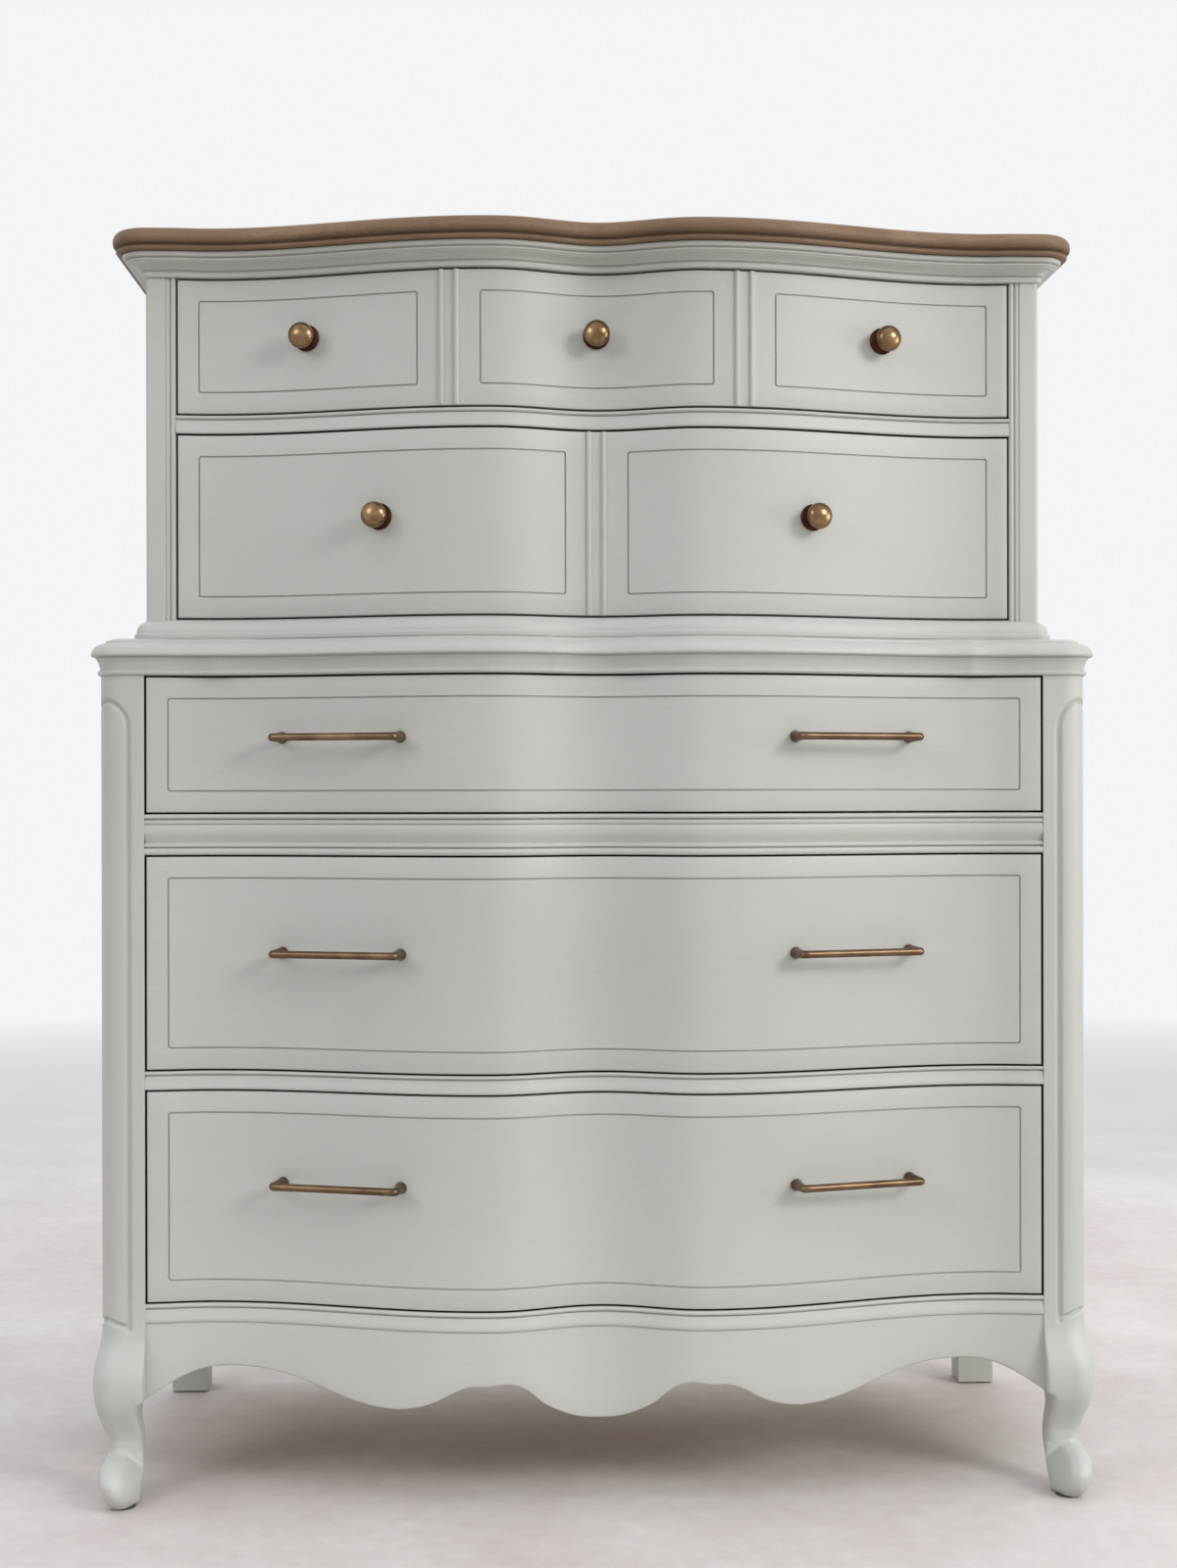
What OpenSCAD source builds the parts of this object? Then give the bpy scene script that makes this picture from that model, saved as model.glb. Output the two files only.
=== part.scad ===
// Two-tier serpentine chest of drawers on cabriole legs, millimetres, +Z up.
// The front faces -Y. The origin is on the floor, under the middle of the whole piece.
// Rows of drawers are counted from the top: rows 1 and 2 in the upper case, rows 3 to 5 in the lower.

/* [Lower case] */
// Width over the front corner posts of the lower case
lower_w = 1031; // [960:1:1100]
// Depth from the face of the lower posts to the back
lower_d = 448; // [410:1:490]
// Height of the bottom drawer opening above the floor
leg_h = 200.5; // [190:0.5:230]
// Width of a lower post's face
post_w = 48.5; // [40:0.5:56]
// Depth of a lower post
post_d = 46; // [40:1:56]
// Radius of the rounded outer corner of a lower post
post_r = 28; // [24:1:34]
// Thickness of the side panels of both cases
panel_t = 14; // [10:1:18]
// Width and depth of a square rear leg
rear_leg_w = 42; // [36:1:48]
// Thickness of the back panels
back_t = 6; // [4:1:9]
// Height of the lower back panel's edge above the floor
back_low_z = 150; // [130:1:170]

/* [Upper case] */
// Distance that each side of the upper case stands in from the lower one
side_in = 46.5; // [40:0.5:54]
// Distance that the upper case stands back from the lower one
set_back = 27; // [20:1:40]
// Width and depth of an upper post
upper_post_w = 31; // [28:1:40]
// Radius of the rounded outer corner of an upper post
upper_post_r = 4; // [2:1:10]

/* [Serpentine front] */
// Half distance between the two crests of the front
crest_x = 108; // [96:1:130]
// Half distance between the two hollows of the front
hollow_x = 407; // [380:1:420]
// How far a crest stands forward of a hollow
crest_d = 60; // [44:1:66]
// How far the middle of the front stands forward of a hollow
middle_d = 34; // [20:1:42]
// How far the ends of the lower front flare forward of a hollow
lower_flare = 5.5; // [2:0.5:10]
// How far the ends of the upper front flare forward of a hollow
upper_flare = 2; // [0:1:6]

/* [Openings and rails] */
// Height of the opening of row 1
row1_h = 143; // [120:1:160]
// Height of the opening of row 2
row2_h = 194.5; // [170:0.5:215]
// Height of the opening of row 3
row3_h = 143.5; // [120:0.5:165]
// Height of the opening of row 4
row4_h = 223.5; // [195:0.5:240]
// Height of the opening of row 5
row5_h = 221; // [195:1:240]
// Height of a thin rail between two openings
rail_h = 19; // [17:0.5:24]
// Height of the thick rail below row 3
middle_rail_h = 42; // [36:1:56]
// Height of the rail at the foot of the upper case
base_rail_h = 21; // [20:1:28]
// Height of the rail below row 5
bottom_rail_h = 20.5; // [17:0.5:24]
// Depth of every front rail behind the line of the front
rail_d = 60; // [56:1:70]
// Depth that a rail's bead stands proud of the rail
bead_out = 2; // [1:0.5:3]
// Height of a rail's bead
bead_h = 4; // [3:0.5:5]

/* [Mouldings and top] */
// Height of the waist moulding
waist_h = 38.5; // [37:0.5:46]
// Overhang of the waist moulding's nose
waist_over = 10.5; // [9:0.5:16]
// How far the flat land of the waist moulding reaches in under the moulding above it
land_tuck = 2.5; // [1:0.5:4]
// Thickness of the board on top of the lower case
lower_top_t = 18; // [14:1:20]
// Overhang of the moulding at the foot of the upper case
base_over = 12.5; // [11:0.5:17]
// Height of the fascia below the round of that moulding
base_fascia = 5; // [3:0.5:7]
// Height of the cornice
cornice_h = 22.5; // [21:0.5:30]
// Overhang of the cornice under the top slab
cornice_over = 26; // [20:1:30]
// Width and depth of the cleats under the slab
cleat_w = 22; // [16:1:28]
// Thickness of the top slab
slab_t = 23; // [20:1:28]
// Overhang of the top slab at the front and sides
slab_over = 34; // [31:1:40]
// Radius of the nosing of the top slab
slab_nose = 9; // [6:0.5:10]

/* [Apron] */
// Thickness of the apron
apron_t = 20; // [16:1:24]
// Distance that the apron's face lies behind the rails
apron_in = 2; // [1:0.5:4]
// Height of the apron's edge at the legs
apron_end_z = 101.5; // [94:0.5:108]
// Height of the apron's tallest arch
apron_arch_z = 135; // [126:1:144]
// Half distance between the two tall arches
apron_arch_x = 381; // [365:1:394]
// Height of the apron's side lobes
apron_lobe_z = 99.5; // [90:0.5:108]
// Half distance between the side lobes
apron_lobe_x = 209; // [195:1:220]
// Height of the small shelf beside each bracket
apron_shelf_z = 121.5; // [118:0.5:123]
// Half distance between the shelves
apron_shelf_x = 125; // [121:1:130]
// Height of the brackets beside the middle lobe
apron_bracket_z = 126; // [123:0.5:130]
// Half distance between the brackets
apron_bracket_x = 99; // [88:1:104]
// Height of the apron's middle lobe
apron_middle_z = 86; // [76:1:94]
// Height of a side panel's lower corners above the ends of the apron
side_up = 12; // [4:1:20]
// Rise of the arch in the lower edge of a side panel
side_arch_h = 30; // [15:1:40]

/* [Legs] */
// How far a front leg's knee swells past the case
knee_out = 6.5; // [4:0.5:16]
// How far a front leg's knee swells forward
knee_front = 15; // [8:0.5:22]
// How far the ankle is drawn in at the side
ankle_in = 12; // [8:0.5:15]
// How far the toe reaches forward of the post
toe_reach = 54; // [48:1:66]
// Height of the top of the scrolled toe
toe_h = 45; // [38:1:54]
// How far the toe's side lies in from the case's side
toe_in = 8; // [4:1:12]
// How far the sole is drawn in from the case's side
sole_in = 15; // [12:1:18]
// How far the sole is drawn back from the toe
sole_back = 15; // [10:1:18]
// Height of a foot glide
glide_h = 2; // [1:0.5:6]
// Diameter of a foot glide
glide_d = 24; // [16:1:28]

/* [Drawers] */
// Gap round a drawer front in its opening
front_gap = 2; // [1:0.25:3]
// Thickness of a drawer front
front_t = 22; // [18:1:26]
// Distance that a drawer front lies behind the rails
front_in = 1; // [0:0.25:2]
// Gap between a drawer side and the opening beside it
side_gap = 4; // [3:0.5:6]
// Gap between a drawer and what it runs on
run_gap = 0.3; // [0.2:0.1:0.6]
// Thickness of a drawer's sides and back
box_t = 12; // [10:1:15]
// Distance from the top of an opening to the top of the drawer's sides
box_drop = 18; // [12:1:26]
// Height of the drawer bottom's underside above the sides' lower edge
bottom_up = 12; // [11:1:15]
// Thickness of a drawer bottom
bottom_t = 5; // [3:1:7]
// Depth of the groove that holds a drawer bottom
groove_d = 5; // [3:1:7]
// Gap between a drawer and what is behind it
rear_gap = 11; // [6:1:20]
// Width of the vertical beading on the two upper rows
beading_w = 21; // [18:1:26]
// Radius of one bead of that beading
beading_r = 3; // [2.5:0.5:4.5]
// Half distance between the beadings of row 1
beading_x = 152; // [146:1:162]

/* [Runners] */
// Width of a side runner
runner_w = 50; // [44:1:60]
// Depth of the rail at the back of a drawer frame
frame_rear_d = 30; // [24:1:36]
// Width of the centre bearer of a drawer frame
bearer_w = 60; // [50:1:80]
// Width of the centre guide
guide_w = 20; // [16:1:24]
// Height of the centre guide
guide_h = 8; // [5:1:9]
// Side clearance of a drawer's guide strips on the centre guide
guide_gap = 0.6; // [0.4:0.1:1]
// Width of a drawer's guide strip
strip_w = 12; // [10:1:16]
// Glue line between two boards of one piece
glue = 0.2; // [0.1:0.05:0.3]

/* [Knobs and pulls] */
// Diameter of a knob's head
knob_d = 29; // [24:1:34]
// Diameter of a knob's base
knob_base_d = 22; // [18:1:26]
// Diameter of a knob's neck
knob_neck_d = 11; // [10:1:14]
// How far a knob stands out
knob_out = 27; // [24:1:32]
// Height of the knobs above the middle of their drawers
knob_up = 6; // [-10:1:20]
// Half distance between the outer knobs of row 1
row1_knob_x = 300; // [290:1:315]
// Half distance between the knobs of row 2
row2_knob_x = 224; // [210:1:240]
// Distance between the posts of a bar pull
pull_cc = 128; // [96:1:140]
// Diameter of the bar of a pull
bar_d = 8; // [7:0.5:10]
// How far a pull stands out
pull_out = 30; // [27:1:34]
// Length of the bar past the middle of its post
bar_end = 5.5; // [0:0.5:8]
// Diameter of a pull's post where it meets the drawer
pull_base_d = 13; // [11:1:16]
// Half distance between the two pulls of a drawer
pull_x = 263; // [255:1:270]
// Height of the pulls above the middle of row 3
row3_up = 7; // [-10:0.5:20]
// Height of the pulls above the middle of row 4
row4_up = 11; // [-15:0.5:25]
// Height of the pulls above the middle of row 5
row5_up = 15; // [-15:0.5:25]
// Diameter of a handle screw's shank
screw_d = 4; // [3:0.5:5]
// Diameter of a screw's head
screw_head_d = 8; // [7:0.5:9]
// Clearance of a handle screw in its bore
screw_gap = 0.3; // [0.2:0.1:0.5]
// Depth of a handle screw in its handle
screw_in = 10; // [8:1:12]
// Clearance of a screw's thread in its handle
thread_gap = 0.1; // [0.05:0.05:0.2]
// Gap between a handle or a screw's head and the curved front
seat_gap = 0.5; // [0.3:0.1:0.8]

/* [Hidden] */

// Strips along the serpentine front, and points of an arc and of a moulding's round
front_steps = 48;
corner_steps = 5;
round_steps = 4;

// How far the sole is narrower than the post at the inner side, and how far it ends before the post
sole_trim = 3;
sole_heel = 6;

// Heights, from the floor up
row5_z = leg_h;
lower_rail_z = row5_z + row5_h;
row4_z = lower_rail_z + rail_h;
middle_rail_z = row4_z + row4_h;
row3_z = middle_rail_z + middle_rail_h;
waist_z = row3_z + row3_h;
lower_top_z = waist_z + waist_h - lower_top_t;
deck_z = waist_z + waist_h;
row2_z = deck_z + base_rail_h;
mid_rail_z = row2_z + row2_h;
row1_z = mid_rail_z + rail_h;
cornice_z = row1_z + row1_h;
slab_z = cornice_z + cornice_h;
slab_top_z = slab_z + slab_t;
bottom_rail_z = row5_z - bottom_rail_h;

// Places in plan, with Y counted from the face of the lower posts
lower_half = lower_w / 2;
upper_half = lower_half - side_in;
lower_open = lower_half - post_w;
upper_open = upper_half - upper_post_w;
back_y = lower_d - back_t;
rear_leg_y = back_y - rear_leg_w;
rear_leg_x = lower_half - panel_t - rear_leg_w;
waist_land = side_in - base_over + land_tuck;
screw_tip = 3;
screw_z = lower_top_z + screw_tip;

// Middle of a front glide, under the sole of the leg
glide_x = lower_half - (sole_in + post_w - sole_trim) / 2;
glide_y = -(toe_reach - sole_back + sole_heel) / 2;

// One row of drawers: opening half width, floor, height, Y of the front, flare, Y limit behind, and
// height of the handles
ROWS = [
  [upper_open, row1_z, row1_h, set_back, upper_flare, back_y, row1_z + row1_h / 2 + knob_up],
  [upper_open, row2_z, row2_h, set_back, upper_flare, back_y, row2_z + row2_h / 2 + knob_up],
  [lower_open, row3_z, row3_h, 0, lower_flare, rear_leg_y, row3_z + row3_h / 2 + row3_up],
  [lower_open, row4_z, row4_h, 0, lower_flare, rear_leg_y, row4_z + row4_h / 2 + row4_up],
  [lower_open, row5_z, row5_h, 0, lower_flare, rear_leg_y, row5_z + row5_h / 2 + row5_up]
];

// How far the pulls of the lower drawers reach forward: they sit on the slope of the front
pull_half = pull_cc / 2 * cos(pull_angle(pull_cc / 2));
pull_slope = pull_angle(pull_half);
pull_end = pull_cc / 2 + bar_end;
pull_mid_y = (front_line(pull_x - pull_half, lower_open, lower_flare)
  + front_line(pull_x + pull_half, lower_open, lower_flare)) / 2 + front_in;
pull_reach = pull_end * sin(pull_slope) + (seat_gap + pull_out) * cos(pull_slope) - pull_mid_y;

// Y of the lower posts' face, which puts the origin midway between the front and the back
post_y = -(lower_d - max(toe_reach, pull_reach)) / 2;

// Colours
paint = [0.74, 0.73, 0.70];
stain = [0.48, 0.37, 0.28];
maple = [0.80, 0.69, 0.53];
birch = [0.74, 0.62, 0.46];
brass = [0.60, 0.48, 0.33];
steel = [0.62, 0.63, 0.65];
nylon = [0.16, 0.15, 0.14];

// Smooth step from 0 to 1
function ease(t) = (1 - cos(180 * t)) / 2;

// How far the serpentine stands forward of its hollows at x
function swell(x) =
  let (a = abs(x))
  a <= crest_x ? middle_d + (crest_d - middle_d) * ease(a / crest_x)
  : a <= hollow_x ? crest_d * (1 - ease((a - crest_x) / (hollow_x - crest_x)))
  : 0;

// Y of the front line at x, which meets the posts' face at half
function front_line(x, half, flare) =
  let (over = (abs(x) - hollow_x) / (half - hollow_x))
  flare - swell(x) - flare * ease(max(0, min(1, over)));

// Y of a line parallel to the front and t behind it, without the flare
function back_line(x, flare, t) = flare - swell(x) + t;

// Slope of the lower front across a pull whose posts are reach to each side of its middle
function pull_angle(reach) = atan2(
  front_line(pull_x + reach, lower_open, lower_flare)
  - front_line(pull_x - reach, lower_open, lower_flare), 2 * reach);

// Evenly spaced places from -half to half
function places(half) = [for (i = [0 : front_steps]) -half + 2 * half * i / front_steps];

// The same list in the other order
function backwards(list) = [for (i = [len(list) - 1 : -1 : 0]) list[i]];

// Points of an elliptical arc
function arc(cx, cy, rx, ry, a0, a1, steps) =
  [for (i = [0 : steps]) let (a = a0 + (a1 - a0) * i / steps) [cx + rx * cos(a), cy + ry * sin(a)]];

// Outline of a case in plan, from the rear left corner round the front to the rear right corner
function outline(half, open, front, r, flare) = concat(
  [[-half, lower_d]],
  arc(r - half, front + r, r, r, 180, 270, corner_steps),
  [for (x = places(open)) [x, front + front_line(x, open, flare)]],
  arc(half - r, front + r, r, r, 270, 360, corner_steps),
  [[half, lower_d]]
);

lower_outline = outline(lower_half, lower_open, 0, post_r, lower_flare);
upper_outline = outline(upper_half, upper_open, set_back, upper_post_r, upper_flare);

// Outward normal of one stretch of an outline, and the mitred normal at each point
function stretch_normal(p, q) = let (d = (q - p) / norm(q - p)) [d[1], -d[0]];
function normal_at(path, i) =
  let (
    n1 = i == 0 ? [-1, 0] : stretch_normal(path[i - 1], path[i]),
    n2 = i == len(path) - 1 ? [1, 0] : stretch_normal(path[i], path[i + 1]),
    a = i == 0 ? n2 : n1,
    b = i == len(path) - 1 ? n1 : n2
  )
  (a + b) / (1 + a * b);
function shifted(path, d) = [for (i = [0 : len(path) - 1]) path[i] + d * normal_at(path, i)];

// Inner edge of the waist moulding's land, point for point along the lower outline
land_r = max(1, post_r - waist_land);
land_front = shifted(lower_outline, -waist_land);
land_end = corner_steps + 1;
land_path = concat(
  [[waist_land - lower_half, lower_d]],
  arc(waist_land + land_r - lower_half, waist_land + land_r, land_r, land_r, 180, 270, corner_steps),
  [for (i = [land_end + 1 : land_end + 1 + front_steps]) land_front[i]],
  arc(lower_half - waist_land - land_r, waist_land + land_r, land_r, land_r, 270, 360, corner_steps),
  [[lower_half - waist_land, lower_d]]
);

// A solid through closed rings of equal length, from the lowest ring to the highest
module loft(rings) {
  m = len(rings[0]);
  n = len(rings);
  points = [for (ring = rings) for (p = ring) p];
  sides = [
    for (j = [0 : n - 2]) for (i = [0 : m - 1])
      [j * m + i, (j + 1) * m + i, (j + 1) * m + (i + 1) % m, j * m + (i + 1) % m]
  ];
  low = [for (i = [0 : m - 1]) i];
  high = [for (i = [m - 1 : -1 : 0]) (n - 1) * m + i];
  polyhedron(points, concat([low, high], sides), convexity = 6);
}

// A moulding of one profile, [overhang, height] points, swept along an outline. Its profile ends with
// points at the heights in inner_z on the path inner, if these are given.
module moulding(path, profile, inner = [], inner_z = []) {
  m = len(profile) + len(inner_z);
  n = len(path);
  points = [for (i = [0 : n - 1]) let (v = normal_at(path, i)) each concat(
    [for (p = profile) [path[i][0] + p[0] * v[0], path[i][1] + p[0] * v[1], p[1]]],
    [for (z = inner_z) [inner[i][0], inner[i][1], z]]
  )];
  sides = [
    for (i = [0 : n - 2]) for (j = [0 : m - 1])
      [i * m + j, i * m + (j + 1) % m, (i + 1) * m + (j + 1) % m, (i + 1) * m + j]
  ];
  first = [for (j = [m - 1 : -1 : 0]) j];
  last = [for (j = [0 : m - 1]) (n - 1) * m + j];
  polyhedron(points, concat([first, last], sides), convexity = 6);
}

// Everything is modelled with Y from the lower posts' face, then moved to the origin
module placed() {
  translate([0, post_y, 0]) children();
}

// Two mirrored copies
module pair() {
  children();
  mirror([1, 0, 0]) children();
}

module board(x0, x1, y0, y1, z0, z1) {
  translate([x0, y0, z0]) cube([x1 - x0, y1 - y0, z1 - z0]);
}

// Top slab: bead and quirk under a full round nosing
module top_slab() {
  bead = 5;
  quirk = 1.5;
  nose_z = slab_z + bead + 0.5;
  round_top = slab_top_z - slab_nose;
  nose_turn = 80;
  levels = concat(
    [[slab_over - 3.5, slab_z], [slab_over - 1, slab_z + 1], [slab_over - 1, slab_z + bead - 1]],
    [[slab_over - 1 - quirk, slab_z + bead], [slab_over - 0.5, nose_z + 1]],
    arc(slab_over - slab_nose, round_top, slab_nose, slab_nose, 0, nose_turn, round_steps),
    [[slab_over - slab_nose * 1.2, slab_top_z]]
  );
  color(stain) placed()
    loft([for (l = levels) [for (p = shifted(upper_outline, l[0])) [p[0], min(p[1], lower_d), l[1]]]]);
}

// Cornice: lower band, cove and fillets under the slab
module cornice() {
  band = 6;
  band_out = 4;
  fillet = 4;
  cove_r = cornice_h - band - fillet - 2;
  profile = concat(
    [[0, cornice_z], [band_out, cornice_z], [band_out, cornice_z + band]],
    [[band_out + 2, cornice_z + band + 1]],
    arc(cornice_over - 4, cornice_z + band + 1, cornice_over - band_out - 6, cove_r, 180, 90, round_steps),
    [[cornice_over - 3, slab_z - fillet], [cornice_over, slab_z - fillet], [cornice_over, slab_z]],
    [[0, slab_z]]
  );
  color(paint) placed() moulding(upper_outline, profile);
}

// Fascia and quarter round at the foot of the upper case
module base_moulding() {
  rise = base_rail_h - base_fascia - 2;
  profile = concat(
    [[0, deck_z], [base_over, deck_z], [base_over, deck_z + base_fascia]],
    arc(1, deck_z + base_fascia + 1, base_over - 2, rise, 0, 90, round_steps),
    [[0, deck_z + base_fascia + rise + 1]]
  );
  color(paint) placed() moulding(upper_outline, profile);
}

// Bead, cove, round nose and stepped land between the two cases
module waist_moulding() {
  bead_r = 3.5;
  bead_z = waist_z + bead_r;
  cove_z = waist_z + 2 * bead_r + 1;
  cove_top = cove_z + 10;
  cove_out = 8;
  nose_z = cove_top + 6;
  bead_turn = 70;
  step = 4;
  step_in = 5;
  step_run = 6;
  nose_rise = deck_z - step - nose_z;
  profile = concat(
    [[0, lower_top_z], [0, waist_z]],
    arc(0.4, bead_z, bead_r, bead_r, -bead_turn, bead_turn, round_steps),
    arc(cove_out, cove_z, cove_out - 1.2, cove_top - cove_z, 180, 90, round_steps),
    [[cove_out + 1, cove_top], [waist_over - 1, nose_z - 3]],
    arc(waist_over - 10, nose_z, 10, nose_rise, 0, 90, round_steps),
    [[-step_in, deck_z - step], [-step_in - step_run, deck_z]]
  );
  color(paint) placed() moulding(lower_outline, profile, land_path, [deck_z, lower_top_z]);
}

// Board inside the waist moulding, with bores for the screws that hold the upper case
module lower_top_board() {
  color(maple) placed() difference() {
    translate([0, 0, lower_top_z]) linear_extrude(lower_top_t)
      polygon(land_path);
    screw_places() cylinder(d = screw_d + 2 * screw_gap, h = deck_z + 1, $fn = 32);
  }
}

// Rail with a serpentine front: a recessed face between an upper and a lower bead
module front_rail(open, front, flare, z, h, beads) {
  deep = [for (x = places(open)) [x, front + rail_d]];
  face = [for (x = places(open)) [x, front + front_line(x, open, flare) + bead_out]];
  proud = [for (x = places(open)) [x, front + front_line(x, open, flare)]];
  translate([0, 0, z]) linear_extrude(h) polygon(concat(face, [deep[front_steps], deep[0]]));
  if (beads > 0)
    for (low = [z, z + h - bead_h])
      translate([0, 0, low]) linear_extrude(bead_h)
        polygon(concat(proud, [deep[front_steps], deep[0]]));
}

module upper_top_rail() {
  color(paint) placed() front_rail(upper_open, set_back, upper_flare, cornice_z, cornice_h, 0);
}
module upper_mid_rail() {
  color(paint) placed() front_rail(upper_open, set_back, upper_flare, mid_rail_z, rail_h, 1);
}
module upper_base_rail() {
  color(paint) placed() front_rail(upper_open, set_back, upper_flare, deck_z, base_rail_h, 0);
}
module lower_top_rail() {
  color(paint) placed()
    front_rail(lower_open, 0, lower_flare, waist_z, lower_top_z - waist_z, 0);
}
module middle_rail() {
  color(paint) placed() front_rail(lower_open, 0, lower_flare, middle_rail_z, middle_rail_h, 1);
}
module lower_rail() {
  color(paint) placed() front_rail(lower_open, 0, lower_flare, lower_rail_z, rail_h, 1);
}
module bottom_rail() {
  color(paint) placed() front_rail(lower_open, 0, lower_flare, bottom_rail_z, bottom_rail_h, 1);
}

// Square upper post with one rounded corner
module upper_post() {
  w = upper_post_w;
  corner = arc(upper_post_r - upper_half, set_back + upper_post_r, upper_post_r, upper_post_r,
    180, 270, corner_steps);
  color(paint) placed() translate([0, 0, deck_z]) linear_extrude(slab_z - deck_z)
    polygon(concat([[-upper_half, set_back + w]], corner,
      [[-upper_open, set_back], [-upper_open, set_back + w]]));
}
module upper_post_left() {
  upper_post();
}
module upper_post_right() {
  mirror([1, 0, 0]) upper_post();
}

module upper_side() {
  color(paint) placed()
    board(-upper_half, panel_t - upper_half, set_back + upper_post_w, lower_d, deck_z, slab_z);
}
module upper_side_left() {
  upper_side();
}
module upper_side_right() {
  mirror([1, 0, 0]) upper_side();
}

module upper_back() {
  inner = upper_half - panel_t;
  color(birch) placed() board(-inner, inner, back_y, lower_d, deck_z, slab_z);
}

// Cleats under the slab at the back and sides
module top_cleats() {
  inner = upper_half - panel_t;
  side_y = set_back + rail_d;
  rear_y = back_y - frame_rear_d;
  low = slab_z - cleat_w;
  color(maple) placed() {
    board(-inner, inner, rear_y, back_y, low, slab_z);
    pair() board(-inner, cleat_w - inner, side_y, rear_y - glue, low, slab_z);
  }
}

// One ring of a front leg: how far it stands out, in, forward and back of the post's outer corner
function leg_ring(z, out, in, front, back, r, s) =
  let (x0 = -lower_half - out, x1 = -lower_half + in, y0 = -front, y1 = back)
  [for (p = concat(
    arc(x0 + r, y0 + r, r, r, 180, 270, corner_steps),
    arc(x1 - s, y0 + s, s, s, 270, 360, 3),
    arc(x1 - s, y1 - s, s, s, 0, 90, 3),
    arc(x0 + s, y1 - s, s, s, 90, 180, 3)
  )) [p[0], p[1], z]];

// Height at a share of the way from the toe's top to the post's foot
function leg_z(share) = toe_h + (bottom_rail_z - toe_h) * share;

// Cabriole leg and corner post in one piece, from the sole up
module front_leg() {
  low = glide_h;
  foot = toe_h - glide_h;
  w = post_w;
  d = post_d;
  r = post_r;
  rings = [
    leg_ring(low, -sole_in, w - sole_trim, toe_reach - sole_back, -sole_heel, r * 0.43, w * 0.17),
    leg_ring(low + foot * 0.08, -(sole_in + toe_in) / 2, w * 0.96, toe_reach - sole_back / 2, -d * 0.06,
      r / 2, w * 0.2),
    leg_ring(low + foot * 0.23, -toe_in - 2, w * 0.97, toe_reach * 0.965, d * 0.06, r * 0.57, w * 0.22),
    leg_ring(low + foot * 0.37, -toe_in, w * 0.98, toe_reach * 0.99, d * 0.22, r * 0.6, w * 0.22),
    leg_ring(low + foot * 0.54, -toe_in, w * 0.98, toe_reach, d * 0.35, r * 0.6, w * 0.22),
    leg_ring(low + foot * 0.74, -(toe_in + ankle_in) / 2, w * 0.97, toe_reach * 0.91, d * 0.48,
      r * 0.57, w * 0.22),
    leg_ring(low + foot * 0.89, -ankle_in * 0.96, w * 0.96, toe_reach * 0.72, d * 0.57, r * 0.54, w * 0.22),
    leg_ring(toe_h, -ankle_in, w * 0.96, toe_reach * 0.42, d * 0.65, r * 0.46, w * 0.2),
    leg_ring(leg_z(0.02), -ankle_in, w * 0.95, d * 0.02, d * 0.67, r * 0.46, w * 0.2),
    leg_ring(leg_z(0.08), -ankle_in * 0.85, w * 0.94, -d * 0.07, d * 0.72, r * 0.46, w * 0.2),
    leg_ring(leg_z(0.18), -ankle_in * 0.25, w * 0.91, knee_front * 0.15, d * 0.83, r * 0.54, w * 0.17),
    leg_ring(leg_z(0.31), knee_out * 0.65, w * 0.9, knee_front * 0.72, d * 0.91, r * 0.71, w * 0.13),
    leg_ring(leg_z(0.38), knee_out * 0.86, w, knee_front * 0.88, d * 0.93, r * 0.78, w * 0.11),
    leg_ring(leg_z(0.49), knee_out, w, knee_front, d * 0.96, r * 0.86, w * 0.09),
    leg_ring(leg_z(0.63), knee_out * 0.8, w, knee_front * 0.85, d * 0.98, r * 0.93, w * 0.07),
    leg_ring(leg_z(0.76), knee_out * 0.32, w, knee_front * 0.42, d * 0.99, r * 0.96, w * 0.04),
    leg_ring(leg_z(0.87), knee_out * 0.06, w, knee_front * 0.12, d, r, w * 0.02),
    leg_ring(bottom_rail_z, 0, w, 0, d, r, w * 0.01),
    leg_ring(lower_top_z, 0, w, 0, d, r, w * 0.01)
  ];
  color(paint) placed() loft(rings);
}
module front_leg_left() {
  front_leg();
}
module front_leg_right() {
  mirror([1, 0, 0]) front_leg();
}

// Square rear leg inside the side panel
module rear_leg() {
  color(paint) placed()
    board(-rear_leg_x - rear_leg_w, -rear_leg_x, rear_leg_y, back_y, glide_h, lower_top_z);
}
module rear_leg_left() {
  rear_leg();
}
module rear_leg_right() {
  mirror([1, 0, 0]) rear_leg();
}

// Side panel with an arched lower edge
module lower_side() {
  y0 = post_d;
  z0 = apron_end_z + side_up;
  edge = [for (i = [0 : front_steps]) let (t = i / front_steps)
    [y0 + (lower_d - y0) * t, z0 + side_arch_h * sin(180 * t)]];
  color(paint) placed() translate([-lower_half, 0, 0]) rotate([90, 0, 90]) linear_extrude(panel_t)
    polygon(concat(edge, [[lower_d, lower_top_z], [y0, lower_top_z]]));
}
module lower_side_left() {
  lower_side();
}
module lower_side_right() {
  translate([2 * lower_half - panel_t, 0, 0]) lower_side();
}

module lower_back() {
  inner = lower_half - panel_t;
  color(birch) placed() board(-inner, inner, back_y, lower_d, back_low_z, lower_top_z);
}

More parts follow.
